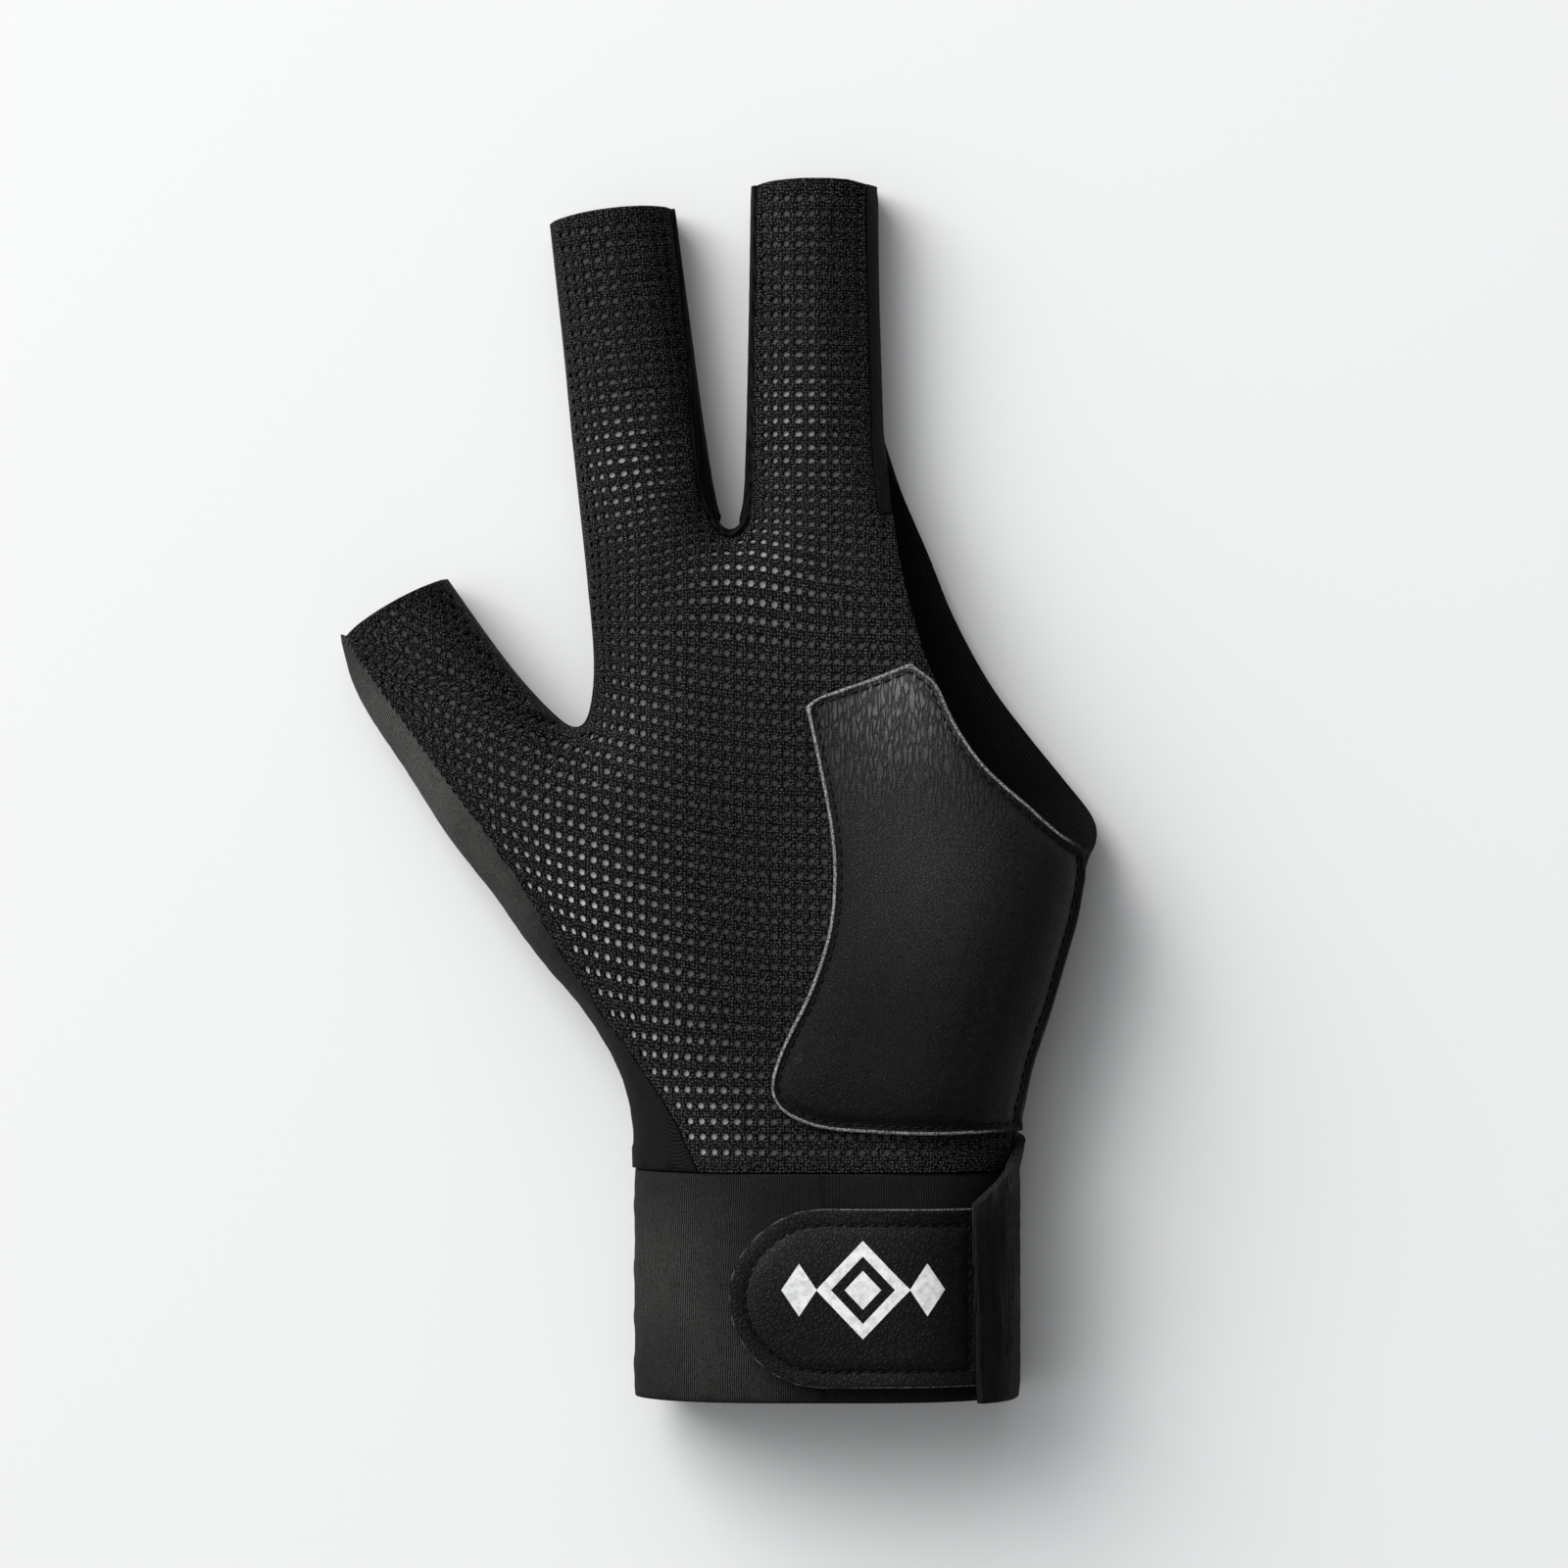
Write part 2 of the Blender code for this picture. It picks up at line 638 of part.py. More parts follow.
def welded(points, normals, faces):
    """The sheet with the points that two of its outlines share made one."""
    keys = np.round(points / (5 * TOUCH)).astype(int)
    _, first, index = np.unique(keys, axis=0, return_index=True, return_inverse=True)
    index = index.reshape(-1)
    summed = np.zeros((len(first), 3))
    np.add.at(summed, index, normals)
    faces = index[faces]
    whole = (faces[:, 0] != faces[:, 1]) & (faces[:, 1] != faces[:, 2]) & (faces[:, 0] != faces[:, 2])
    faces = faces[whole]
    used, faces = np.unique(faces, return_inverse=True)
    return points[first][used], unit(summed[used]), faces.reshape(-1, 3)


def add_piece(name, sheet, outer, inner, colour, roughness):
    """A closed solid between two offsets of a sheet, in metres along its normals."""
    points, normals, faces = sheet
    count = len(points)
    outer = np.broadcast_to(outer, count)[:, None]
    inner = np.broadcast_to(inner, count)[:, None]
    vertices = np.vstack([points + normals * outer, points + normals * inner])
    edges = {(int(a), int(b)) for face in faces for a, b in zip(face, np.roll(face, -1))}
    rim = [(b, a, a + count, b + count) for a, b in sorted(edges) if (b, a) not in edges]
    solid = [*map(tuple, faces.tolist()), *map(tuple, (faces[:, ::-1] + count).tolist()), *rim]
    mesh = bpy.data.meshes.new(name)
    mesh.from_pydata(vertices.tolist(), [], solid)
    mesh.validate()
    mesh.shade_smooth()
    mesh.set_sharp_from_angle(angle=math.radians(40))
    material = bpy.data.materials.new(name)
    material.use_nodes = True
    shader = material.node_tree.nodes["Principled BSDF"]
    shader.inputs["Base Color"].default_value = (*colour, 1)
    shader.inputs["Roughness"].default_value = roughness
    mesh.materials.append(material)
    piece = bpy.data.objects.new(name, mesh)
    bpy.context.scene.collection.objects.link(piece)
    return piece


def remove_startup_objects():
    for startup_object in list(bpy.data.objects):
        bpy.data.objects.remove(startup_object)


def tip_line(left_curve, right_curve, rings):
    """The cut edge of a finger, from the end of one side to the start of the next."""
    return across(left_curve[-1], right_curve[0], rings, bow=TIP_BOW)


def split_at(line, start, stop):
    """The part of a line between two points that lie on it, with those points as its ends."""
    way = line[-1] - line[0]
    reach = (line - line[0]) @ way
    low, high = (start - line[0]) @ way, (stop - line[0]) @ way
    margin = SEAM_GAP / 2 * np.linalg.norm(way)
    between = line[(reach > low + margin) & (reach < high - margin)]
    return np.vstack([start, between, stop])


# The seams, edges and places that all the pieces share
CURVES = make_curves()
CLOSED_SEAMS = closed_seams()
UPPER_SEAMS = [*CLOSED_SEAMS, *fading_seams(0, UPPER_FADE, UPPER_HOLD)]
LOWER_SEAMS = [*CLOSED_SEAMS, *fading_seams(LOWER_SPLAY, LOWER_FADE, 0)]
UPPER_PLACES = surface_places(UPPER_RINGS, 1, GRID_STEP)
LOWER_PLACES = surface_places(LOWER_RINGS, BACK_REACH, BACK_GRID_STEP)

LEFT, RIGHT = np.array([-1.0, 0.0]), np.array([1.0, 0.0])
KNIT_BLACK = (0.012, 0.012, 0.012)
MESH_BLACK = (0.014, 0.014, 0.014)
LEATHER_BLACK = (0.016, 0.016, 0.017)


def seam_lines(side):
    """Where the mesh stops beside each side seam: half a seam gap further in than the knit does."""
    shift = side * SEAM_GAP / 2
    left, fork, middle = CURVES["left"], CURVES["finger_fork"], CURVES["middle"]
    thumb_tip = CURVES["thumb_fork"][0] - left[-1]
    index_tip = CURVES["thumb_fork"][-1] - fork[0]
    middle_tip = middle[0] - fork[-1]
    return {
        "left": moved_inside(
            left, strip_widths(left, THUMB_STRIP_WIDTHS, THUMB_STRIP) + shift, RIGHT, thumb_tip
        ),
        "finger_fork": moved_inside(
            fork, strip_widths(fork, GUSSET_WIDTHS, GUSSET_STRIP) + shift, index_tip, middle_tip
        ),
        "middle": moved_inside(middle, np.full(len(middle), MIDDLE_STRIP + shift), -middle_tip),
        "heel": moved_inside(
            CURVES["heel"], np.full(len(CURVES["heel"]), HEEL_STRIP + shift), last_way=LEFT
        ),
    }


def add_palm_mesh():
    """The openwork palm side, from the finger tips to the wrist seam."""
    seams = seam_lines(1)
    thumb_fork, fork = CURVES["thumb_fork"], CURVES["finger_fork"]
    seam_y = CUFF_LENGTH / 2 + SEAM_GAP / 2
    wrist = across(np.array([-CUFF_WIDTH / 2, seam_y]), np.array([CUFF_WIDTH / 2, seam_y]), UPPER_RINGS)
    seams["left"][0, 1] = seams["heel"][-1, 1] = seam_y
    thumb = split_at(tip_line(CURVES["left"], thumb_fork, UPPER_RINGS), seams["left"][-1], thumb_fork[0])
    index = split_at(tip_line(thumb_fork, fork, UPPER_RINGS), thumb_fork[-1], seams["finger_fork"][0])
    middle = split_at(
        tip_line(fork, CURVES["middle"], UPPER_RINGS), seams["finger_fork"][-1], seams["middle"][0]
    )
    outline = loop(
        seams["left"],
        thumb,
        thumb_fork,
        index,
        seams["finger_fork"],
        middle,
        seams["middle"],
        mesh_edge(1),
        seams["heel"],
        split_at(wrist, seams["left"][0], seams["heel"][-1])[::-1],
    )
    sheet = cloth([outline], scored=[closed(pad_outline())], seam_shift=SEAM_GAP / 2)
    return add_piece("palm_mesh", sheet, 0, -MESH_WALL, MESH_BLACK, 0.8)


def mesh_edge(side):
    """The mesh's free edge below the middle finger, which starts where the knit strip ends."""
    seams = seam_lines(side)
    edge = CURVES["palm_edge"]
    strip_end = on_limb(LIMBS["middle"], 0.5, 0.039)[1] - side * SEAM_GAP / 2
    below = edge[edge[:, 1] < strip_end - SEAM_GAP]
    height = np.array([np.interp(-strip_end, -edge[:, 1], edge[:, 0]), strip_end])
    corner = np.array([height[0] - MIDDLE_STRIP - side * SEAM_GAP / 2, strip_end])
    return np.vstack([corner, height, below[:-1], seams["heel"][:1]])


def pad_outline():
    """The heel pad's edge: its own rows, then the palm side's edges, a little inside them."""
    own = curve_through(rows_to_points(PAD_EDGE))
    edge = CURVES["palm_edge"]
    edge = moved_inside(edge, np.full(len(edge), PAD_INSET))
    heel = moved_inside(CURVES["heel"], np.full(len(CURVES["heel"]), HEEL_STRIP + SEAM_GAP / 2 + PAD_INSET))
    shared_edge = edge[(edge[:, 1] < own[0, 1]) & (edge[:, 0] < heel[0, 0] - PAD_INSET)]
    shared_heel = heel[(heel[:, 1] > own[-1, 1] + PAD_INSET)]
    return loop(shared_edge, shared_heel[1:], own[::-1])


def add_back_panel():
    """The smooth back, whose edges wrap round the sides of the thumb, middle finger and heel."""
    seams = seam_lines(-1)
    left, thumb_fork, fork = CURVES["left"], CURVES["thumb_fork"], CURVES["finger_fork"]
    seam_y = CUFF_LENGTH / 2 + SEAM_GAP / 2
    seams["left"][0, 1] = seams["heel"][-1, 1] = seam_y
    wrist = across(np.array([-CUFF_WIDTH / 2, seam_y]), np.array([CUFF_WIDTH / 2, seam_y]), UPPER_RINGS)
    back_wrist = across(wrist[0], wrist[-1], LOWER_RINGS, step=BACK_GRID_STEP)
    left_side = joined(wrist[:1], left[1:])
    heel_side = joined(CURVES["heel"][:-1], wrist[-1:])
    back_fork = moved_inside(
        fork,
        np.full(len(fork), GUSSET_BACK + SEAM_GAP / 2),
        thumb_fork[-1] - fork[0],
        CURVES["middle"][0] - fork[-1],
    )
    thumb_tip = tip_line(left, thumb_fork, LOWER_RINGS)
    index_tip = split_at(tip_line(thumb_fork, fork, LOWER_RINGS), thumb_fork[-1], back_fork[0])
    middle_tip = split_at(tip_line(fork, CURVES["middle"], LOWER_RINGS), back_fork[-1], CURVES["middle"][0])
    back = loop(
        left_side,
        thumb_tip,
        thumb_fork,
        index_tip,
        back_fork,
        middle_tip,
        CURVES["middle"],
        CURVES["back_edge"],
        heel_side,
        back_wrist[::-1],
    )
    thumb_strip = loop(
        left_side,
        split_at(tip_line(left, thumb_fork, UPPER_RINGS), left[-1], seams["left"][-1]),
        seams["left"][::-1],
        split_at(wrist, wrist[0], seams["left"][0])[::-1],
    )
    palm_edge, free_edge = CURVES["palm_edge"], mesh_edge(-1)
    middle_strip = loop(
        CURVES["middle"],
        palm_edge[palm_edge[:, 1] > free_edge[1, 1] + SEAM_GAP],
        free_edge[1:2],
        free_edge[:1],
        seams["middle"][::-1],
    )
    heel_strip = loop(
        heel_side,
        split_at(wrist, seams["heel"][-1], wrist[-1])[::-1],
        seams["heel"][::-1],
    )
    sheet = cloth([thumb_strip, middle_strip, heel_strip], [back], seam_shift=-SEAM_GAP / 2)
    return add_piece("back_panel", sheet, 0, -KNIT_WALL, KNIT_BLACK, 0.7)


def add_finger_gusset():
    """The knit strip that lines the fork between the index and middle finger."""
    fork = CURVES["finger_fork"]
    index_way = CURVES["thumb_fork"][-1] - fork[0]
    middle_way = CURVES["middle"][0] - fork[-1]
    palm_side = seam_lines(-1)["finger_fork"]
    back_side = moved_inside(fork, np.full(len(fork), GUSSET_BACK - SEAM_GAP / 2), index_way, middle_way)
    uppers, lowers = [], []
    for rings, line, found in (
        (UPPER_RINGS, palm_side, uppers),
        (LOWER_RINGS, back_side, lowers),
    ):
        index_tip = tip_line(CURVES["thumb_fork"], fork, rings)
        middle_tip = tip_line(fork, CURVES["middle"], rings)
        found.append(
            loop(
                fork,
                split_at(middle_tip, fork[-1], line[-1]),
                line[::-1],
                split_at(index_tip, line[0], fork[0]),
            )
        )
    sheet = cloth(uppers, lowers)
    return add_piece("finger_gusset", sheet, 0, -KNIT_WALL, KNIT_BLACK, 0.7)


def add_wrist_cuff():
    """The knit cuff, one closed stretch band."""
    half, hem_y, seam_y = CUFF_WIDTH / 2, -CUFF_LENGTH / 2, CUFF_LENGTH / 2 - SEAM_GAP / 2
    left_edge = joined(CURVES["cuff_left"][:-1], [[-half, seam_y]])
    right_edge = joined([[half, seam_y]], CURVES["cuff_right"][1:])
    sides = []
    for rings, step in ((UPPER_RINGS, GRID_STEP), (LOWER_RINGS, BACK_GRID_STEP)):
        seam, hem = (
            across(np.array([-half, y]), np.array([half, y]), rings, step=step) for y in (seam_y, hem_y)
        )
        sides.append([loop(left_edge, seam, right_edge, hem[::-1])])
    return add_piece("wrist_cuff", cloth(*sides), 0, -CUFF_WALL, KNIT_BLACK, 0.75)


def add_heel_pad():
    """The leather patch on the heel of the hand, crowned over its padding."""
    outline = pad_outline()
    points, normals, faces = cloth([outline])
    share = np.clip(nearest_on(points[:, :2], closed(outline))[0] / PAD_CROWN_REACH, 0, 1)
    crown = PAD_CROWN * share * (2 - share)
    outer = LAYER_GAP + PAD_LEATHER + crown
    return add_piece("heel_pad", (points, normals, faces), outer, LAYER_GAP, LEATHER_BLACK, 0.45)


def tab_outline(length, width, right):
    """A strip with a round left end, as wide as given and ending at the given X."""
    radius = width / 2
    straight = right - length + radius
    turns = np.radians(np.linspace(90, 270, 13))
    end = np.column_stack([straight + radius * np.cos(turns), TAB_CENTRE + radius * np.sin(turns)])
    count = max(1, round((right - straight) / EDGE_STEP))
    run = np.linspace(straight, right, count + 1)
    upper = np.column_stack([run[::-1], np.full(count + 1, TAB_CENTRE + radius)])
    lower = np.column_stack([run, np.full(count + 1, TAB_CENTRE - radius)])
    rise = np.linspace(-radius, radius, max(2, round(width / EDGE_STEP)) + 1)
    side = np.column_stack([np.full(len(rise), right), TAB_CENTRE + rise])
    return loop(upper, end, lower, side)


def tab_right():
    """Where the tab ends, a little under the wing."""
    return CUFF_WIDTH / 2 - WING_SPAN + WING_TUCK


def add_strap_tab():
    """The leather tab, which lies on its hook pad across the palm side of the cuff."""
    sheet = cloth([tab_outline(TAB_LENGTH, TAB_WIDTH, tab_right())])
    base = 2 * LAYER_GAP + HOOK_WALL
    return add_piece("strap_tab", sheet, base + TAB_WALL, base, LEATHER_BLACK, 0.5)


def add_hook_patch():
    """The hook pad under the tab."""
    margin = (TAB_WIDTH - HOOK_WIDTH) / 2
    right = tab_right() - TAB_LENGTH + margin + HOOK_LENGTH
    sheet = cloth([tab_outline(HOOK_LENGTH, HOOK_WIDTH, right)])
    return add_piece("hook_patch", sheet, LAYER_GAP + HOOK_WALL, LAYER_GAP, KNIT_BLACK, 0.9)


def add_strap_wing():
    """The knit wing that wraps over the cuff from its outer side and is sewn down over the tab."""
    half, hem_y = CUFF_WIDTH / 2, -CUFF_LENGTH / 2
    heel = CURVES["heel"]
    top = CUFF_LENGTH / 2 + WING_RISE
    corner = np.array([np.interp(-top, -heel[:, 1], heel[:, 0]), top])
    side = joined(corner[None], heel[heel[:, 1] < top - SEAM_GAP], CURVES["cuff_right"])
    inner = half - WING_SPAN
    shoulder = np.array([inner - WING_TUCK / 2, TAB_CENTRE + TAB_WIDTH / 2 + 2 * LAYER_GAP])
    fold = curve_through(np.array([shoulder, 0.53 * shoulder + 0.47 * corner, corner]))
    run = np.linspace(hem_y, shoulder[1], round(TAB_WIDTH / EDGE_STEP) + 1)
    edge = np.column_stack([np.linspace(inner, shoulder[0], len(run)), run])
    hem = np.column_stack([np.linspace(half, inner, 3), np.full(3, hem_y)])
    upper = loop(side, hem, edge, fold)
    turn = BACK_REACH * fullness_at(side)[1] * (1 - math.cos(LOWER_RINGS[0]))
    lower = loop(side, moved_inside(side, turn)[::-1])
    over_tab = tab_right() + WING_TUCK
    crease_top = np.interp(over_tab, fold[:, 0], fold[:, 1]) - WING_TUCK
    crease = np.linspace(hem_y + WING_TUCK, crease_top, len(run))
    crease = np.column_stack([np.full(len(run), over_tab), crease])
    points, normals, faces = cloth([upper], [lower], [crease])
    share = np.clip((half - points[:, 0]) / (half - over_tab), 0, 1)
    lift = LAYER_GAP + (2 * LAYER_GAP + HOOK_WALL + TAB_WALL) * share**2 * (3 - 2 * share)
    return add_piece("strap_wing", (points, normals, faces), lift + WING_WALL, lift, KNIT_BLACK, 0.7)


remove_startup_objects()
add_palm_mesh()
add_back_panel()
add_finger_gusset()
add_wrist_cuff()
add_heel_pad()
add_strap_tab()
add_hook_patch()
add_strap_wing()
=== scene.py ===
"""Looks of a three-finger billiard glove that lies palm up on a pale table, seen from straight above."""

import math

import bmesh
import bpy
import numpy as np
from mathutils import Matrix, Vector
from mathutils.bvhtree import BVHTree
from mathutils.geometry import delaunay_2d_cdt


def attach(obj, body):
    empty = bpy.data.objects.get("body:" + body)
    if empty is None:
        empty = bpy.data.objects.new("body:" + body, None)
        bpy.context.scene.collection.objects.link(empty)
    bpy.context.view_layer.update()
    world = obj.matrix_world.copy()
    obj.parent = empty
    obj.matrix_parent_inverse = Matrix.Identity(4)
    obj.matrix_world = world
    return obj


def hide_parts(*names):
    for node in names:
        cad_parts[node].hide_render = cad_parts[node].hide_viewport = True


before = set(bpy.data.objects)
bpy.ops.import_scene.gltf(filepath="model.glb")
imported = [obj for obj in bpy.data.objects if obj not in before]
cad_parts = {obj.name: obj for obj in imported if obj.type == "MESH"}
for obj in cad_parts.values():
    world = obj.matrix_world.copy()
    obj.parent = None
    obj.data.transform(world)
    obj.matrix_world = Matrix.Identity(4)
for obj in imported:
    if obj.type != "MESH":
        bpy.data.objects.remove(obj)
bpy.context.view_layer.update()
scene = bpy.context.scene

# Table, light and camera
# A pale matt table top under soft boxes, as in a product studio. The camera hangs straight above
# the palm with a long lens, so that one photo pixel is 0.175 mm at the height of the side seams.
MM = 0.001
PIXEL = 0.175 * MM
ORIGIN_PIXEL = (838.5, 1307)
CAMERA_HEIGHT = 1.25
SENSOR = 36
TABLE_SIZE = 6
LIT_SIDE = (-0.7, 0.56, 0.42)
IMAGE_SIDE = 1600


def from_photo(x, y):
    """The plan place in metres that a pixel of the photograph shows."""
    return (x - ORIGIN_PIXEL[0]) * PIXEL, (ORIGIN_PIXEL[1] - y) * PIXEL


def linear(colour):
    """An sRGB hex colour as linear red, green, blue and alpha."""
    parts = [int(colour[i : i + 2], 16) / 255 for i in (1, 3, 5)]
    return (*[p / 12.92 if p <= 0.04045 else ((p + 0.055) / 1.055) ** 2.4 for p in parts], 1)


def add(tree, kind, inputs=None, **settings):
    """Adds a node to a tree. An input is a value, or an output socket to link from."""
    node = tree.nodes.new(kind)
    for name, value in settings.items():
        setattr(node, name, value)
    for name, value in (inputs or {}).items():
        if isinstance(value, bpy.types.NodeSocket):
            tree.links.new(value, node.inputs[name])
        else:
            node.inputs[name].default_value = value
    return node


def new_material(name):
    """A material with a bare tree, and that tree."""
    material = bpy.data.materials.new(name)
    material.use_nodes = True
    material.node_tree.nodes.clear()
    return material, material.node_tree


def finish_material(tree, surface):
    """Ends a material's tree with one surface of the given inputs."""
    shader = add(tree, "ShaderNodeBsdfPrincipled", surface)
    add(tree, "ShaderNodeOutputMaterial", {"Surface": shader.outputs["BSDF"]})


def link_object(name, mesh, *materials):
    for material in materials:
        mesh.materials.append(material)
    made = bpy.data.objects.new(name, mesh)
    scene.collection.objects.link(made)
    return made


def soft_box(name, place, aim, size, power):
    """A square soft box that faces its aim."""
    lamp = bpy.data.lights.new(name, "AREA")
    lamp.size = size
    lamp.energy = power
    box = bpy.data.objects.new(name, lamp)
    box.location = place
    box.rotation_euler = (Vector(aim) - Vector(place)).to_track_quat("-Z", "Y").to_euler()
    scene.collection.objects.link(box)


table_paint, tree = new_material("table_matt_white")
finish_material(tree, {"Base Color": linear("#EDEDED"), "Roughness": 0.9})
half = TABLE_SIZE / 2
table_mesh = bpy.data.meshes.new("table")
table_corners = [(-half, -half, 0), (half, -half, 0), (half, half, 0), (-half, half, 0)]
table_mesh.from_pydata(table_corners, [], [(0, 1, 2, 3)])
table = link_object("table", table_mesh, table_paint)
table.location.z = -0.0002

middle_x, middle_y = from_photo(IMAGE_SIDE / 2, IMAGE_SIDE / 2)
aim = (middle_x, middle_y, 0)
soft_box("key_box", (-1.6, 1.6, 1.7), aim, 2.0, 72)
world = bpy.data.worlds.new("studio")
world.use_nodes = True
tree = world.node_tree
sky = add(tree, "ShaderNodeTexCoord").outputs["Generated"]
lit_side = add(tree, "ShaderNodeVectorMath", {0: sky, 1: LIT_SIDE}, operation="DOT_PRODUCT")
glow = add(
    tree,
    "ShaderNodeMapRange",
    {"Value": lit_side.outputs["Value"], "From Min": 0.1, "From Max": 0.95, "To Min": 0.12, "To Max": 1.5},
    interpolation_type="SMOOTHSTEP",
)
backdrop = tree.nodes["Background"]
backdrop.inputs["Color"].default_value = linear("#F4F6F8")
tree.links.new(glow.outputs[0], backdrop.inputs["Strength"])
scene.world = world

camera_data = bpy.data.cameras.new("camera")
camera_data.sensor_width = SENSOR
seam_height = 12 * MM
camera_data.lens = SENSOR * (CAMERA_HEIGHT - seam_height) / (IMAGE_SIDE * PIXEL)
camera = bpy.data.objects.new("camera", camera_data)
camera.location = (middle_x, middle_y, CAMERA_HEIGHT)
scene.collection.objects.link(camera)
scene.camera = camera
scene.view_settings.view_transform = "Standard"

# Palm mesh
# The palm side is a black spacer mesh: a knitted face with rows of holes, and a lighter grey ground
# layer that shows at the bottom of each hole. It is cut in one piece from the finger tips to the
# wrist, and its knit columns run along the hand and spread with the shape of the fingers.
COLUMN = 2.2 * MM
ROW_PITCH = ((95, 2.7), (118, 2.75), (130, 2.45), (165, 2.35), (182, 2.6), (205, 3.0))
HOLE_ACROSS = 0.62
HOLE_ALONG = 0.47
HOLE_SIDES = 8
LEAST_CELL = 0.4 * MM**2
HOLE_DEPTH = 0.5 * MM
HOLE_SINK = 0.14 * MM
BAR_RISE = 0.1 * MM
MESH_THICKNESS = 1.4 * MM
SEAM_MARGIN = 0.35 * MM
CREASE = math.radians(50)
SHARP = math.radians(38)
SHARP_INWARD = math.radians(70)


class Skin:
    """The outer face of a CAD node as a smooth surface over the plan."""

    def __init__(self, node, below=False):
        body = bmesh.new()
        body.from_mesh(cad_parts[node].data)
        bmesh.ops.remove_doubles(body, verts=body.verts, dist=1e-6)
        body.normal_update()
        sign = -1 if below else 1
        start = max(
            body.faces, key=lambda f: sign * f.calc_center_median().z * (sign * f.normal.z > 0.5)
        )
        found, front = {start}, [start]
        while front:
            face = front.pop()
            for edge in face.edges:
                for other in edge.link_faces:
                    if other not in found and face.normal.angle(other.normal) < CREASE:
                        found.add(other)
                        front.append(other)
        faces = [f for f in found if sign * f.normal.z > 0.02]
        corners = sorted({v for f in faces for v in f.verts}, key=lambda v: v.index)
        number = {v: i for i, v in enumerate(corners)}
        normals = np.zeros((len(corners), 3))
        for face in found:
            for loop in face.loops:
                if loop.vert in number:
                    normals[number[loop.vert]] += np.array(face.normal) * loop.calc_angle()
        self.points = np.array([v.co[:] for v in corners])
        self.normals = normals / np.linalg.norm(normals, axis=1)[:, None]
        self.faces = np.array([[number[v] for v in f.verts] for f in faces])
        flat = [Vector((p[0], p[1], 0)) for p in self.points]
        self.tree = BVHTree.FromPolygons(flat, self.faces.tolist())
        rim = {}
        inside = set(faces)
        for face in faces:
            for loop in face.loops:
                if not any(f in inside and f is not face for f in loop.edge.link_faces):
                    rim[number[loop.vert]] = number[loop.link_loop_next.vert]
        self.rims = []
        while rim:
            first, after = rim.popitem()
            ring = [first]
            while after != first:
                ring.append(after)
                after = rim.pop(after)
            self.rims.append(self.points[ring, :2])
        self.rims.sort(key=lambda ring: -np.ptp(ring[:, 0]) * np.ptp(ring[:, 1]))
        body.free()

    def gaps(self, plan):
        """How far each plan point lies outside the skin. 0 on it."""
        return np.array([self.tree.find_nearest((x, y, 0))[3] for x, y in plan])

    def at(self, plan):
        """Points and normals of the smooth skin over plan points."""
        near = [self.tree.find_nearest((x, y, 0)) for x, y in plan]
        spots = np.array([n[0][:2] for n in near])
        tris = self.faces[[n[2] for n in near]]
        a, b, c = (self.points[tris[:, i]] for i in range(3))
        ab, ac, ap = (b - a)[:, :2], (c - a)[:, :2], spots - a[:, :2]
        size = ab[:, 0] * ac[:, 1] - ab[:, 1] * ac[:, 0]
        v = (ap[:, 0] * ac[:, 1] - ap[:, 1] * ac[:, 0]) / size
        w = (ab[:, 0] * ap[:, 1] - ab[:, 1] * ap[:, 0]) / size
        shares = np.clip(np.column_stack([1 - v - w, v, w]), 0, 1)
        flat = (shares[..., None] * self.points[tris]).sum(1)
        curved = np.zeros_like(flat)
        for i in range(3):
            corner, normal = self.points[tris[:, i]], self.normals[tris[:, i]]
            curved += shares[:, i : i + 1] * (flat - ((flat - corner) * normal).sum(1)[:, None] * normal)
        normals = (shares[..., None] * self.normals[tris]).sum(1)
        return flat + 0.75 * (curved - flat), normals / np.linalg.norm(normals, axis=1)[:, None]


def smooth_step(low, high, value):
    share = np.clip((value - low) / (high - low), 0, 1)
    return share * share * (3 - 2 * share)


def inside(points, ring):
    """Whether each point lies inside a closed ring."""
    x, y = points[:, :1], points[:, 1:]
    ax, ay = ring.T
    bx, by = np.roll(ring, -1, axis=0).T
    rise = np.where(by == ay, 1, by - ay)
    return (((ay > y) != (by > y)) & (x < (bx - ax) * (y - ay) / rise + ax)).sum(1) % 2 == 1


def rim_distance(points, ring):
    """How far each point lies from a closed ring, and the way to its nearest place."""
    best = np.full(len(points), np.inf)
    way = np.zeros_like(points)
    for start, stop in zip(ring, np.roll(ring, -1, axis=0)):
        span = stop - start
        share = np.clip((points - start) @ span / (span @ span), 0, 1)
        offset = start + share[:, None] * span - points
        gap = np.linalg.norm(offset, axis=1)
        closer = gap < best
        best[closer], way[closer] = gap[closer], offset[closer]
    return best, way


def turning(ring):
    """1 for a ring that runs anticlockwise, or -1."""
    x, y = ring.T
    return 1 if (x * np.roll(y, -1) - y * np.roll(x, -1)).sum() > 0 else -1


def resampled(ring, step):
    """A closed ring with its points a step apart. Sharp corners stay, and the forks are rounded."""
    ways = np.roll(ring, -1, axis=0) - ring
    angles = np.arctan2(ways[:, 1], ways[:, 0])
    turns = (angles - np.roll(angles, 1) + math.pi) % (2 * math.pi) - math.pi
    outward = turns * turning(ring)
    corners = np.flatnonzero((outward > SHARP) | (outward < -SHARP_INWARD))
    if len(corners) < 2:
        corners = np.array([0])
    pieces = []
    for first, last in zip(corners, np.roll(corners, -1)):
        count = (last - first) % len(ring) or len(ring)
        chain = ring[(first + np.arange(count + 1)) % len(ring)]
        lengths = np.concatenate([[0], np.cumsum(np.linalg.norm(np.diff(chain, axis=0), axis=1))])
        places = np.linspace(0, lengths[-1], max(1, round(lengths[-1] / step)) + 1)[:-1]
        pieces.append(hermite(chain, lengths, places))
    return np.vstack(pieces)


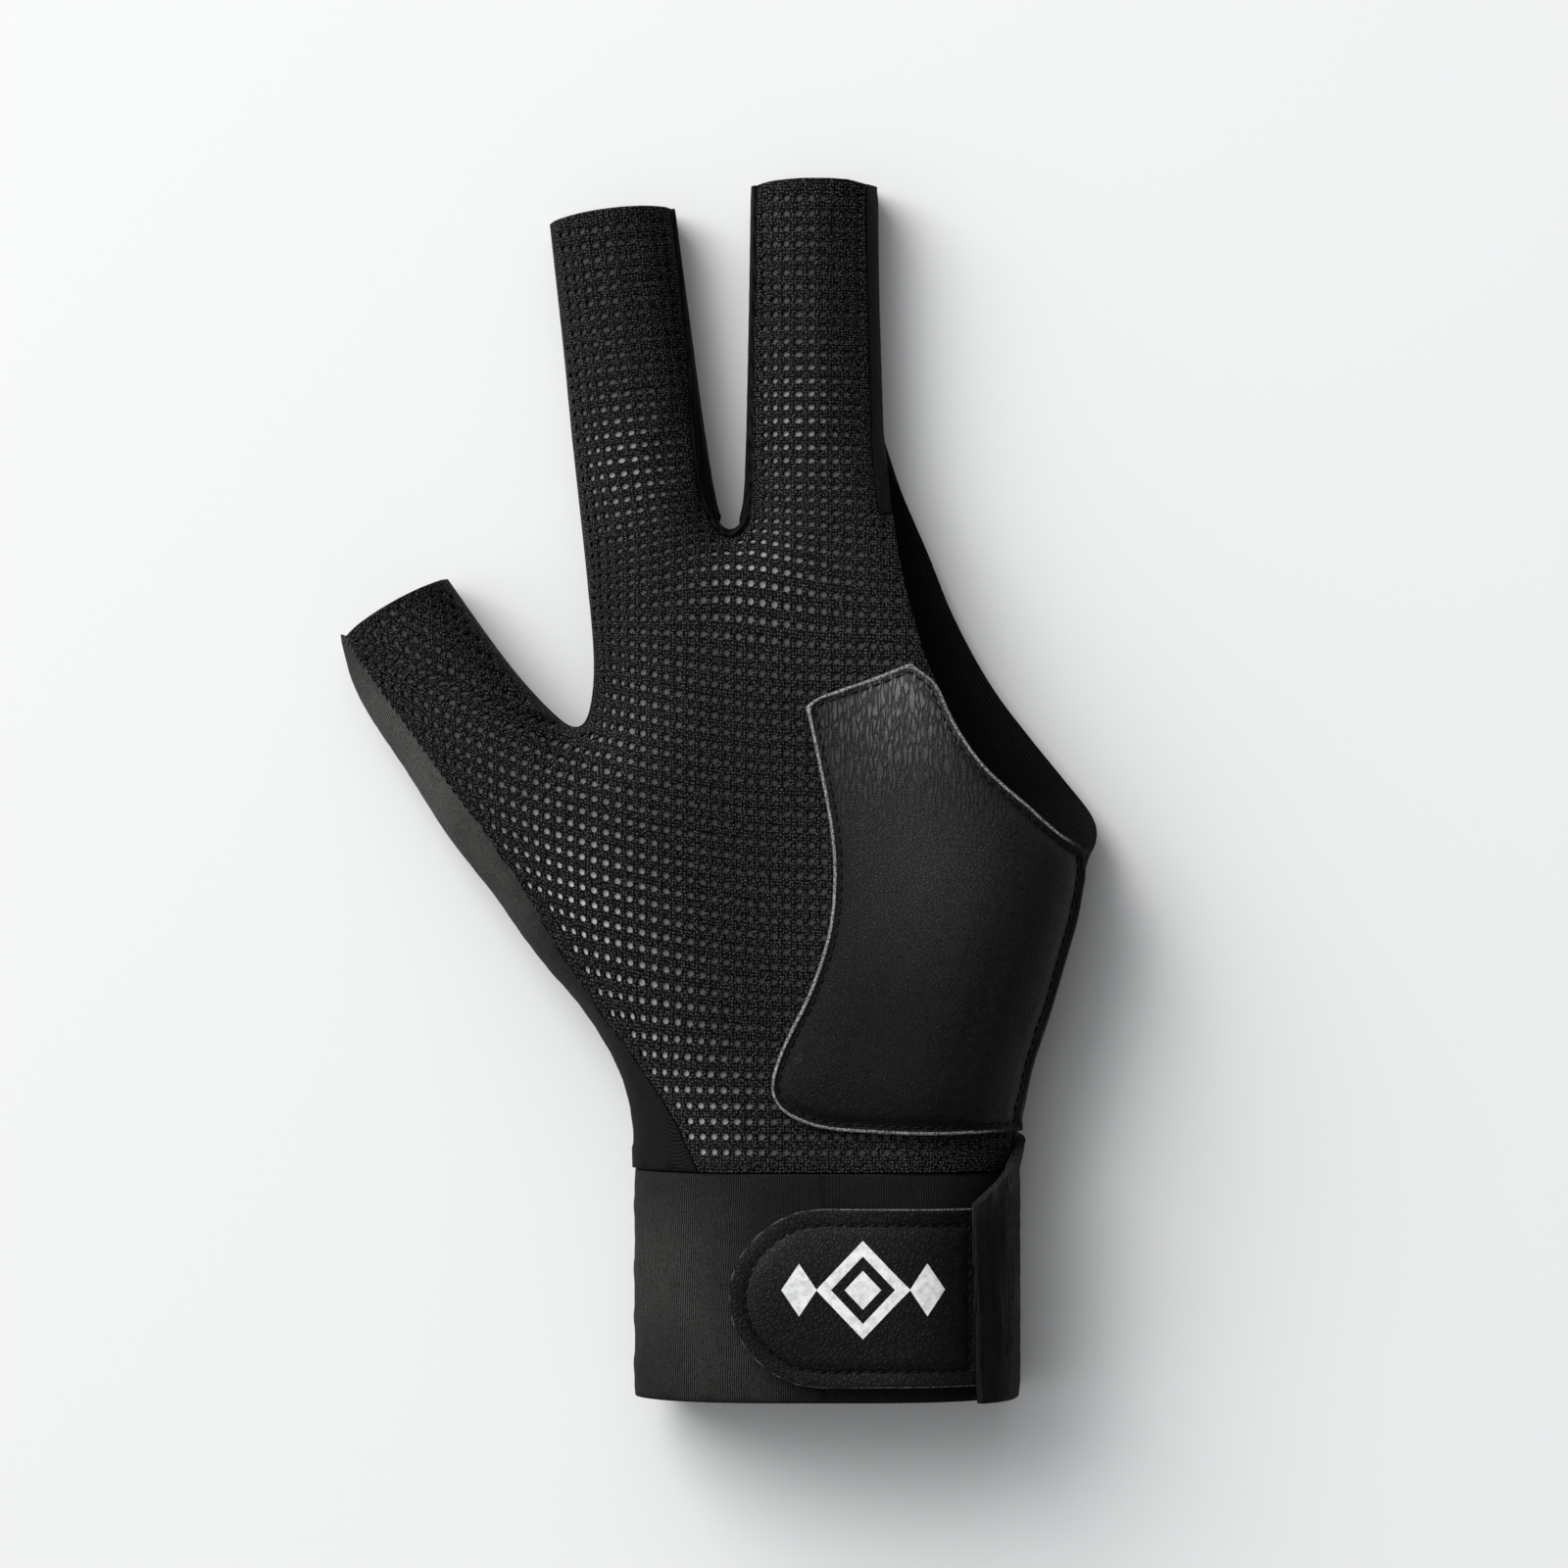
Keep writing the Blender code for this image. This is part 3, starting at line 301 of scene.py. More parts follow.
def hermite(chain, lengths, places):
    """Points of a smooth curve through a chain, at the given lengths."""
    if len(chain) > 2:
        slopes = np.gradient(chain, lengths, axis=0)
    else:
        slopes = np.vstack([np.diff(chain, axis=0) / lengths[-1]] * 2)
    spot = np.clip(np.searchsorted(lengths, places, side="right") - 1, 0, len(chain) - 2)
    span = (lengths[spot + 1] - lengths[spot])[:, None]
    t = (places - lengths[spot])[:, None] / span
    start, stop, away, into = chain[spot], chain[spot + 1], slopes[spot] * span, slopes[spot + 1] * span
    return (
        (2 * t**3 - 3 * t**2 + 1) * start
        + (t**3 - 2 * t**2 + t) * away
        + (3 * t**2 - 2 * t**3) * stop
        + (t**3 - t**2) * into
    )


def triangles_in(ring, loops, spots):
    """Triangles of the plan inside a ring and outside the loops. Returns points, triangles and loops."""
    points = [*map(tuple, ring)]
    edges = [(i, (i + 1) % len(ring)) for i in range(len(ring))]
    numbers = []
    for loop in loops:
        numbers.append(list(range(len(points), len(points) + len(loop))))
        points += [*map(tuple, loop)]
        edges += [(numbers[-1][i - 1], numbers[-1][i]) for i in range(len(loop))]
    points += [*map(tuple, spots)]
    found, _, faces, origins, _, owners = delaunay_2d_cdt(points, edges, numbers, 0, 1e-7)
    plan = np.array([p[:] for p in found])
    faces = np.array([f for f, owner in zip(faces, owners) if not owner])
    faces = faces[inside(plan[faces].mean(1), ring)]
    ab, ac = plan[faces[:, 1]] - plan[faces[:, 0]], plan[faces[:, 2]] - plan[faces[:, 0]]
    area = ab[:, 0] * ac[:, 1] - ab[:, 1] * ac[:, 0]
    faces[area < 0] = faces[area < 0][:, ::-1]
    place = {old: new for new, olds in enumerate(origins) for old in olds}
    return plan, faces[np.abs(area) > 1e-14], [[place[n] for n in loop] for loop in numbers]


def moved_in(ring, distance):
    """The ring's points moved inwards, without those that come too close to it."""
    ways = np.roll(ring, -1, axis=0) - np.roll(ring, 1, axis=0)
    inward = turning(ring) * np.column_stack([-ways[:, 1], ways[:, 0]])
    inward /= np.linalg.norm(ways, axis=1)[:, None]
    row = ring + distance * inward
    gap, _ = rim_distance(row, ring)
    return row[inside(row, ring) & (gap > distance * 0.9)]


def wall_faces(ring, upper, lower):
    """The faces of the wall between two copies of a ring, given where each copy starts."""
    count = len(ring)
    pairs = [(i, (i + 1) % count) for i in range(count)]
    return [(upper + b, upper + a, lower + a, lower + b)[:: turning(ring)] for a, b in pairs]


def spots_in(ring, step, rings=()):
    """Plan points inside a ring: a triangular grid, and rows at given distances from the ring."""
    low, high = ring.min(0), ring.max(0)
    grid = [
        (x + step / 2 * (row % 2), y)
        for row, y in enumerate(np.arange(low[1], high[1], step * math.sqrt(3) / 2))
        for x in np.arange(low[0], high[0], step)
    ]
    grid = np.array(grid)
    gap, _ = rim_distance(grid, ring)
    kept = [grid[inside(grid, ring) & (gap > (rings[-1] if rings else 0) + step * 0.45)]]
    return np.vstack([*kept, *(moved_in(ring, distance) for distance in rings)])


INDEX_ROOT = (-30.8 * MM, 134.2 * MM)
INDEX_LEAN = math.radians(7)
MIDDLE_AXIS = -0.9 * MM
FORK = (-16.4 * MM, 130 * MM)
ROW_START = 2 * MM
ARCH_CENTRE = (-16.4 * MM, 125.5 * MM)
ARCH_REACH = (16 * MM, 11 * MM)
ARCH_RISE = 3.4 * MM
PALM_COLUMNS = round((MIDDLE_AXIS - INDEX_ROOT[0]) / COLUMN)
SAMPLE = 0.5 * MM
STEEPEST = 1.2


def row_slope(x, y):
    """How the knit rows lean over the palm, the thumb and the index finger."""
    palm = -np.interp(-x, [-1 * MM, 15 * MM, 42 * MM, 70 * MM], [0, 0.12, 0.26, 0.5])
    palm = palm * smooth_step(30 * MM, 62 * MM, y)
    index = math.tan(INDEX_LEAN) * smooth_step(6 * MM, -6 * MM, x - FORK[0])
    share = smooth_step(FORK[1] - 26 * MM, FORK[1] + 4 * MM, y) * smooth_step(-56 * MM, -46 * MM, x)
    return palm * (1 - share) + index * share


def knit_grid(skin):
    """Where the knit's rows and columns cross, by their length along the palm's surface."""
    low, high = skin.points.min(0), skin.points.max(0)
    columns = range(-34, 40)
    grid = []
    starts = [low[1] - 14 * MM]
    while starts[-1] < high[1] + 4 * MM:
        starts.append(starts[-1] + np.interp(starts[-1] / MM, *zip(*ROW_PITCH)) * MM)
    for start in starts:
        right = np.arange(ROW_START, high[0] + 2 * MM, SAMPLE)
        left = np.arange(ROW_START, low[0] - 2 * MM, -SAMPLE)
        paths = []
        for xs in (left, right):
            y, ys = start, []
            for i, x in enumerate(xs):
                ys.append(y)
                if i + 1 < len(xs):
                    y += row_slope(x, y) * (xs[i + 1] - x)
            paths.append(np.column_stack([xs, ys]))
        path = np.vstack([paths[0][::-1], paths[1][1:]])
        arch = np.exp(-(((path - ARCH_CENTRE) / ARCH_REACH) ** 2).sum(1))
        path[:, 1] += ARCH_RISE * arch
        points, _ = skin.at(path)
        on_skin = skin.gaps(path) < 1e-5
        steps = np.diff(path, axis=0)
        rise = np.where(on_skin[1:] & on_skin[:-1], np.diff(points[:, 2]), 0)
        rise = np.clip(rise, -STEEPEST * SAMPLE, STEEPEST * SAMPLE)
        length = np.concatenate([[0], np.cumsum(np.sqrt((steps**2).sum(1) + rise**2))])
        lean = np.maximum(path[:, 1] - INDEX_ROOT[1], 0) * math.tan(INDEX_LEAN)
        index_at = np.interp(0, path[:, 0] - INDEX_ROOT[0] + lean, length)
        middle_at = np.interp(MIDDLE_AXIS, path[:, 0], length)
        from_index = (length - index_at) / COLUMN
        from_middle = PALM_COLUMNS + (length - middle_at) / COLUMN
        share = smooth_step(FORK[0] - 9 * MM, FORK[0] + 9 * MM, path[:, 0])
        across = from_index * (1 - share) + from_middle * share
        across = np.maximum.accumulate(across)
        x = np.interp(columns, across, path[:, 0], np.nan, np.nan)
        grid.append(np.column_stack([x, np.interp(x, path[:, 0], path[:, 1])]))
    return np.array(grid)


# How light the ground layer at the bottom of the holes is painted, partly for where the mesh is stretched
# and partly as painted light that reaches the hole floors: x, y and reach in mm, and how light
GROUND_STRETCH_AND_LIGHT = (
    (-48, 64, 17, 0.75),
    (-38, 40, 14, 0.6),
    (-20, 27, 10, 0.35),
    (-40, 102, 11, 0.16),
    (-35, 146, 9, 0.42),
    (-12, 126, 9, 0.38),
    (-4, 154, 10, 0.3),
)
GROUND_LEAST = 0.025


def zones(plan, rows, least):
    """A share from 0 to 1 over the plan, from rows of x, y and reach in mm and a strength."""
    shares = [
        much * np.exp(-(((plan / MM - (x, y)) / reach) ** 2).sum(1)) for x, y, reach, much in rows
    ]
    return np.clip(least + np.sum(shares, axis=0), 0, 1)


def store(mesh, name, values):
    """Keeps a number or a vector for each vertex of a mesh, for its material."""
    values = np.asarray(values, np.float32)
    kind, field = ("FLOAT", "value") if values.ndim == 1 else ("FLOAT_VECTOR", "vector")
    mesh.attributes.new(name, kind, "POINT").data.foreach_set(field, values.ravel())


def vertex_array(mesh, field):
    values = np.zeros(len(mesh.vertices) * 3)
    mesh.vertices.foreach_get(field, values)
    return values.reshape(-1, 3)


def applied(mesh, tree, **inputs):
    """The mesh that a Geometry Nodes tree makes of a mesh, with its named inputs set."""
    holder = link_object(mesh.name + "_plain", mesh)
    modifier = holder.modifiers.new("tree", "NODES")
    modifier.node_group = tree
    for item in tree.interface.items_tree:
        if item.name in inputs:
            modifier[item.identifier] = inputs[item.name]
    made = bpy.data.meshes.new_from_object(
        holder.evaluated_get(bpy.context.evaluated_depsgraph_get())
    )
    bpy.data.objects.remove(holder)
    return made


def named_inputs(tree, **inputs):
    """Opens a Geometry Nodes tree with named number inputs, and returns its input and output nodes."""
    tree.interface.new_socket("Geometry", in_out="INPUT", socket_type="NodeSocketGeometry")
    tree.interface.new_socket("Geometry", in_out="OUTPUT", socket_type="NodeSocketGeometry")
    for name, value in inputs.items():
        socket = tree.interface.new_socket(name, in_out="INPUT", socket_type="NodeSocketFloat")
        socket.default_value = value
    return tree.nodes.new("NodeGroupInput"), tree.nodes.new("NodeGroupOutput")


yarn, tree = new_material("mesh_polyester_yarn_matt")
# Dull black textured polyester. Four loops across and five along lie between two holes, each about
# 0.55 mm. Their tops are painted lighter as a painted highlight, with painted fibre glints and painted
# light along the bars between the holes, and the gaps between the loops are painted black as shade.
knit = add(tree, "ShaderNodeAttribute", attribute_name="knit").outputs["Vector"]
loops = add(tree, "ShaderNodeVectorMath", {0: knit, 1: (4, 5, 1)}, operation="MULTIPLY")
cell = add(
    tree,
    "ShaderNodeTexVoronoi",
    {"Vector": loops.outputs[0], "Scale": 1.0, "Randomness": 0.55},
    feature="F1",
    voronoi_dimensions="2D",
)
top = add(
    tree,
    "ShaderNodeMapRange",
    {"Value": cell.outputs["Distance"], "From Min": 0.05, "From Max": 0.46, "To Min": 1.0, "To Max": 0.0},
)
painted_fibre_glint = add(
    tree,
    "ShaderNodeTexNoise",
    {"Vector": loops.outputs[0], "Scale": 1.7, "Detail": 2.0},
    noise_dimensions="2D",
)
painted_fibre_glint = add(
    tree,
    "ShaderNodeMapRange",
    {"Value": painted_fibre_glint.outputs["Fac"], "From Min": 0.38, "From Max": 0.66, "To Min": 0.05, "To Max": 1.2},
)
painted_wale_light = add(tree, "ShaderNodeSeparateXYZ", {"Vector": knit}).outputs["X"]
painted_wale_light = add(tree, "ShaderNodeMath", {0: painted_wale_light, 1: 2 * math.pi}, operation="MULTIPLY")
painted_wale_light = add(tree, "ShaderNodeMath", {0: painted_wale_light.outputs[0]}, operation="COSINE")
painted_wale_light = add(tree, "ShaderNodeMath", {0: painted_wale_light.outputs[0], 1: 0.2, 2: 0.85}, operation="MULTIPLY_ADD")
# Painted light: loop tops, fibre glints and the bars between holes are painted lighter.
lit = add(tree, "ShaderNodeMath", {0: top.outputs[0], 1: painted_fibre_glint.outputs[0]}, operation="MULTIPLY")
lit = add(tree, "ShaderNodeMath", {0: lit.outputs[0], 1: painted_wale_light.outputs[0]}, operation="MULTIPLY")
shade = add(
    tree,
    "ShaderNodeMix",
    {"Factor": lit.outputs[0], "A": linear("#030303"), "B": linear("#5C5B5A")},
    data_type="RGBA",
)
relief = add(tree, "ShaderNodeBump", {"Height": top.outputs[0], "Strength": 0.8, "Distance": 0.15 * MM})
finish_material(
    tree,
    {
        "Base Color": shade.outputs["Result"],
        "Roughness": 0.7,
        "Specular IOR Level": 0.05,
        "Normal": relief.outputs["Normal"],
    },
)

ground, tree = new_material("mesh_ground_yarn_grey")
# The inner layer is a pale monofilament. Its colour is painted lighter where more light reaches it over the
# hand and darker where less does: painted light and shade.
painted_floor_light = add(tree, "ShaderNodeAttribute", attribute_name="ground_painted_light").outputs["Fac"]
fleck = add(
    tree,
    "ShaderNodeTexNoise",
    {"Vector": add(tree, "ShaderNodeTexCoord").outputs["Object"], "Scale": 1500.0, "Detail": 1.0},
)
shade = add(
    tree,
    "ShaderNodeMix",
    {"Factor": painted_floor_light, "A": linear("#080808"), "B": linear("#D8D5D2")},
    data_type="RGBA",
)
fleck_share = add(
    tree,
    "ShaderNodeMapRange",
    {"Value": fleck.outputs["Fac"], "From Min": 0.3, "From Max": 0.7, "To Min": 0.7, "To Max": 1.15},
)
shade = add(
    tree,
    "ShaderNodeVectorMath",
    {0: shade.outputs["Result"], 1: fleck_share.outputs[0]},
    operation="MULTIPLY",
)
finish_material(tree, {"Base Color": shade.outputs[0], "Roughness": 0.6})

palm_skin = Skin("palm_mesh")
pad_skin = Skin("heel_pad")
palm_ring = resampled(palm_skin.rims[0], 1.1 * MM)
crossings = knit_grid(palm_skin)
rows, columns = np.meshgrid(*map(np.arange, crossings.shape[:2]), indexing="ij")
counts = np.stack([columns, rows], axis=2)


def four_corners(grid):
    """The values of a grid at the corners of each of its cells."""
    return np.stack([grid[:-1, :-1], grid[:-1, 1:], grid[1:, 1:], grid[1:, :-1]], axis=2).reshape(-1, 4, 2)


quads, knits = four_corners(crossings), four_corners(counts)
whole = ~np.isnan(quads).any((1, 2))
quads, knits = quads[whole], knits[whole]
centres = quads.mean(1)
wide = (quads[:, 1] + quads[:, 2] - quads[:, 0] - quads[:, 3]) / 4
tall = (quads[:, 2] + quads[:, 3] - quads[:, 0] - quads[:, 1]) / 4
turns = (np.arange(HOLE_SIDES) + 0.5) * 2 * math.pi / HOLE_SIDES
holes = (
    centres[:, None]
    + HOLE_ACROSS * np.cos(turns)[None, :, None] * wide[:, None]
    + HOLE_ALONG * np.sin(turns)[None, :, None] * tall[:, None]
)
sizes = np.abs(wide[:, 0] * tall[:, 1] - wide[:, 1] * tall[:, 0])
clear, _ = rim_distance(centres, palm_ring)
under_pad, _ = rim_distance(centres, pad_skin.rims[0])
under_pad = inside(centres, pad_skin.rims[0]) & (under_pad > 3 * MM)
reach = np.linalg.norm(holes - centres[:, None], axis=2).max(1)
open_cells = (
    inside(centres, palm_ring)
    & (clear > reach + SEAM_MARGIN)
    & (sizes > LEAST_CELL)
    & ~under_pad
)
hole_loops = holes[open_cells]
corners = quads.reshape(-1, 2)
corners = corners[inside(corners, palm_ring)]
corners = np.unique(np.round(corners, 6), axis=0)
clear, _ = rim_distance(corners, palm_ring)
corners = corners[clear > 0.4 * MM]
edge_rows = spots_in(palm_ring, 60 * MM, (0.12 * MM, 0.5 * MM))
plan, web, loops = triangles_in(palm_ring, hole_loops, np.vstack([corners, edge_rows]))
points, normals = palm_skin.at(plan)
rise = np.full(len(plan), BAR_RISE)
rise[[n for loop in loops for n in loop]] = -HOLE_SINK
rise *= smooth_step(0, 0.8 * MM, rim_distance(plan, palm_ring)[0])
face_points = points + normals * rise[:, None]
lining_spots = spots_in(palm_ring, 3 * MM, (0.5 * MM, 1.4 * MM))
lining_plan, lining, _ = triangles_in(palm_ring, [], lining_spots)
points, normals = palm_skin.at(lining_plan)
lining_points = points - normals * MESH_THICKNESS
first = len(face_points)
walls = wall_faces(palm_ring, 0, first)
mesh = bpy.data.meshes.new("palm")
mesh.from_pydata(
    [*map(tuple, face_points), *map(tuple, lining_points)],
    [],
    [*web.tolist(), *loops, *(lining[:, ::-1] + first).tolist(), *walls],
)
is_hole = np.zeros(len(mesh.polygons), bool)
is_hole[len(web) : len(web) + len(loops)] = True
mesh.attributes.new("hole", "BOOLEAN", "FACE").data.foreach_set("value", is_hole)
both = np.vstack([plan, lining_plan])
# The hole floors are painted lighter partly for stretch and partly as painted light.
store(mesh, "ground_painted_light", zones(both, GROUND_STRETCH_AND_LIGHT, GROUND_LEAST))


def knit_places(plan):
    """How many knit columns and rows lie before each plan point."""
    corners = np.stack([quads[:, [0, 1, 2]], quads[:, [0, 2, 3]]], axis=1).reshape(-1, 3, 2)
    values = np.stack([knits[:, [0, 1, 2]], knits[:, [0, 2, 3]]], axis=1).reshape(-1, 3, 2)
    flat = [Vector((x, y, 0)) for x, y in corners.reshape(-1, 2)]
    tree = BVHTree.FromPolygons(flat, np.arange(len(flat)).reshape(-1, 3).tolist())
    found = [tree.find_nearest((x, y, 0))[2] for x, y in plan]
    a, b, c = np.moveaxis(corners[found], 1, 0)
    ab, ac, ap = b - a, c - a, plan - a
    size = ab[:, 0] * ac[:, 1] - ab[:, 1] * ac[:, 0]
    v = ((ap[:, 0] * ac[:, 1] - ap[:, 1] * ac[:, 0]) / size)[:, None]
    w = ((ab[:, 0] * ap[:, 1] - ab[:, 1] * ap[:, 0]) / size)[:, None]
    at_a, at_b, at_c = np.moveaxis(values[found], 1, 0)
    return (1 - v - w) * at_a + v * at_b + w * at_c


store(mesh, "knit", np.column_stack([knit_places(both), np.zeros(len(both))]))

tree = bpy.data.node_groups.new("perforations", "GeometryNodeTree")
start, stop = named_inputs(tree, Depth=HOLE_DEPTH, Taper=0.95)
is_hole = add(tree, "GeometryNodeInputNamedAttribute", {"Name": "hole"}, data_type="BOOLEAN")
depth = add(tree, "ShaderNodeMath", {0: start.outputs["Depth"], 1: -1.0}, operation="MULTIPLY")
pits = add(
    tree,
    "GeometryNodeExtrudeMesh",
    {
        "Mesh": start.outputs["Geometry"],
        "Selection": is_hole.outputs["Attribute"],
        "Offset Scale": depth.outputs[0],
        "Individual": True,
    },
    mode="FACES",
)
narrow = add(
    tree,
    "GeometryNodeScaleElements",
    {"Geometry": pits.outputs["Mesh"], "Selection": pits.outputs["Top"], "Scale": start.outputs["Taper"]},
    domain="FACE",
)
whole = add(tree, "GeometryNodeRealizeInstances", {"Geometry": narrow.outputs[0]})
face = add(tree, "GeometryNodeSetMaterial", {"Geometry": whole.outputs[0], "Material": yarn})
floors = add(
    tree,
    "GeometryNodeSetMaterial",
    {"Geometry": face.outputs[0], "Selection": pits.outputs["Top"], "Material": ground},
)
tree.links.new(floors.outputs[0], stop.inputs["Geometry"])
mesh = applied(mesh, tree)
mesh.shade_smooth()
mesh.set_sharp_from_angle(angle=math.radians(50))
palm = link_object("palm_mesh_face", mesh)
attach(palm, "root")
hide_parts("palm_mesh")

# Back, gusset and cuff
# These are smooth stretch knits, cut to the walls of the glove and sewn to the mesh along the sides.
# Their fine ribs run along the hand, and on the left strip along its edge.
RIB = 0.42
STRIP_LEAN = math.radians(-33)


def smooth_copy(name, node, levels):
    """A node's own form, merged and rounded, with its cut edges kept sharp."""
    body = bmesh.new()
    body.from_mesh(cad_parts[node].data)
    bmesh.ops.remove_doubles(body, verts=body.verts, dist=1e-6)
    body.normal_update()
    crease = body.edges.layers.float.new("crease_edge")
    for edge in body.edges:
        if edge.is_manifold and edge.calc_face_angle() > CREASE:
            edge[crease] = 1
    mesh = bpy.data.meshes.new(name)
    body.to_mesh(mesh)
    body.free()
    holder = link_object(name + "_coarse", mesh)
    subdivide = holder.modifiers.new("rounding", "SUBSURF")
    subdivide.levels = subdivide.render_levels = levels
    made = bpy.data.meshes.new_from_object(
        holder.evaluated_get(bpy.context.evaluated_depsgraph_get())
    )
    made.name = name
    bpy.data.objects.remove(holder)
    made.shade_smooth()
    made.set_sharp_from_angle(angle=math.radians(50))
    return made


def unrolled(mesh, lean, middle):
    """Plan places in mm, turned by a lean, whose ribs run on down the walls beside a middle."""
    x, y, z = vertex_array(mesh, "co").T
    c, s = math.cos(lean), math.sin(lean)
    down = z * np.tanh((middle - x) / (12 * MM))
    return np.column_stack([c * x - s * y + down, s * x + c * y, 0 * x]) / MM


def knit_material(name, dark, lit, rib):
    """Black polyester and elastane knit with ribs of a width in mm, lighter partly where stretched and partly
    as painted light.
    """
    material, tree = new_material(name)
    knit = add(tree, "ShaderNodeAttribute", attribute_name="knit").outputs["Vector"]
    stretch_and_light = add(tree, "ShaderNodeAttribute", attribute_name="stretch_and_light")
    wobble = add(tree, "ShaderNodeTexNoise", {"Vector": knit, "Scale": 0.8, "Detail": 2.0})
    parts = add(tree, "ShaderNodeSeparateXYZ", {"Vector": knit})
    drift = add(
        tree,
        "ShaderNodeMath",
        {0: wobble.outputs["Fac"], 1: 0.35, 2: parts.outputs["X"]},
        operation="MULTIPLY_ADD",
    )
    phase = add(tree, "ShaderNodeMath", {0: drift.outputs[0], 1: 2 * math.pi / rib}, operation="MULTIPLY")
    wave = add(tree, "ShaderNodeMath", {0: phase.outputs[0]}, operation="SINE")
    loops = add(
        tree,
        "ShaderNodeTexVoronoi",
        {"Vector": knit, "Scale": 1 / rib, "Randomness": 0.8},
        feature="F1",
    )
    height = add(tree, "ShaderNodeMath", {0: wave.outputs[0], 1: 0.55, 2: 0.85}, operation="MULTIPLY_ADD")
    height = add(
        tree,
        "ShaderNodeMath",
        {0: loops.outputs["Distance"], 1: -0.6, 2: height.outputs[0]},
        operation="MULTIPLY_ADD",
    )
    patchy = add(tree, "ShaderNodeTexNoise", {"Vector": knit, "Scale": 0.12, "Detail": 3.0})
    patchy = add(
        tree, "ShaderNodeMapRange", {"Value": patchy.outputs["Fac"], "To Min": 0.7, "To Max": 1.3}
    )
    lightness = add(
        tree, "ShaderNodeMath", {0: height.outputs[0], 1: patchy.outputs[0]}, operation="MULTIPLY"
    )
    # The attribute paints the knit lighter: partly stretch, partly painted light.
    lightness = add(
        tree, "ShaderNodeMath", {0: lightness.outputs[0], 1: stretch_and_light.outputs["Fac"]}, operation="MULTIPLY"
    )
    shade = add(
        tree,
        "ShaderNodeMix",
        {"Factor": lightness.outputs[0], "A": linear(dark), "B": linear(lit)},
        data_type="RGBA",
    )
    relief = add(
        tree, "ShaderNodeBump", {"Height": height.outputs[0], "Strength": 0.5, "Distance": 0.1 * MM}
    )
    finish_material(
        tree,
        {
            "Base Color": shade.outputs["Result"],
            "Roughness": 0.75,
            "Specular IOR Level": 0.05,
            "Normal": relief.outputs["Normal"],
        },
    )
    return material


back_knit = knit_material("back_stretch_knit", "#060606", "#70706C", RIB)
cuff_knit = knit_material("cuff_rib_knit", "#080808", "#666662", RIB)
# Where the back's strip is lighter, partly from stretch and partly as painted light, and where the cuff is
# painted lighter on its left as painted light: x, y and reach in mm, how much
BACK_STRETCH_AND_LIGHT = ((-80, 102, 16, 0.45), (-70, 84, 15, 0.5), (-55, 68, 12, 0.3), (-42, 50, 10, 0.12))
BACK_LEAST = 0.05
# How far the strip bulges out at the side of the thumb: its middle's x, y, its reach and the bulge in mm
BULGES = ((-80, 103, 14, 2.2), (-66, 84, 14, 1.1), (-52, 64, 14, 1.5))
CUFF_PAINTED_LIGHT = ((-30, 3, 15, 0.2), (-14, -14, 12, 0.16), (-20, 12, 12, 0.03))
CUFF_LEAST = 0.09
FORK_CENTRE = (-16.45 * MM, 136.4 * MM)
FORK_RADIUS = 2.1 * MM
GUSSET_PUFF = 0.45 * MM


def puffed_gusset():
    """The gusset stands out between the fingers a little, and its fork is round at the bottom."""
    mesh = smooth_copy("finger_gusset_knit", "finger_gusset", 2)
    places, normals = vertex_array(mesh, "co"), vertex_array(mesh, "normal")
    from_fork = places[:, :2] - FORK_CENTRE
    below = from_fork[:, 1] < 0
    out = -np.where(below[:, None], from_fork, from_fork * (1, 0))
    out /= np.linalg.norm(out, axis=1)[:, None] + 1e-9
    faces_gap = smooth_step(0.1, 0.6, (normals[:, :2] * out).sum(1))
    under_seam = smooth_step(places[:, 2].max() - 1 * MM, places[:, 2].max() - 4 * MM, places[:, 2])
    share = (faces_gap * under_seam)[:, None]
    places[:, :2] += GUSSET_PUFF * out * share
    from_fork = places[:, :2] - FORK_CENTRE
    length = np.linalg.norm(from_fork, axis=1)[:, None] + 1e-9
    rounded = FORK_CENTRE + from_fork / length * FORK_RADIUS
    places[:, :2] += (rounded - places[:, :2]) * share * below[:, None]
    mesh.vertices.foreach_set("co", places.ravel())
    return mesh


def around(mesh):
    """Lengths in mm round a band and along it, for each vertex. They start below."""
    places = vertex_array(mesh, "co")
    middle = (places.max(0) + places.min(0)) / 2
    x, z = places[:, 0] - middle[0], places[:, 2] - middle[2]
    turn = np.arctan2(x, -z)
    steps = np.linspace(-math.pi, math.pi, 121)
    slot = np.digitize(turn, steps) - 1
    reach = np.array([np.hypot(x, z)[slot == i].max() for i in range(120)])
    mids = (steps[1:] + steps[:-1]) / 2
    line = np.column_stack([reach * np.sin(mids), reach * np.cos(mids)])
    length = np.concatenate([[0], np.cumsum(np.linalg.norm(np.diff(line, axis=0), axis=1))])
    return np.column_stack([np.interp(turn, mids, length), places[:, 1], 0 * x]) / MM


def bulge(mesh):
    """Moves the walls of the thumb's side out, as the hand fills them, most at half their height."""
    places, normals = vertex_array(mesh, "co"), vertex_array(mesh, "normal")
    height = places[:, 2] / places[:, 2].max()
    share = smooth_step(-0.25, -0.75, normals[:, 0])
    share *= smooth_step(0, 0.35, height) * smooth_step(1, 0.75, height)
    for x, y, reach, size in BULGES:
        near = np.exp(-(((places[:, :2] / MM - (x, y)) / reach) ** 2).sum(1))
        places[:, :2] += (size * MM * near * share)[:, None] * normals[:, :2]
    mesh.vertices.foreach_set("co", places.ravel())


def knit_piece(name, node, mesh, material, knit, stretch_and_light):
    """Links a piece of smooth knit."""
    store(mesh, "knit", knit)
    store(mesh, "stretch_and_light", stretch_and_light)
    piece = link_object(name, mesh, material)
    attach(piece, "root")
    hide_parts(node)


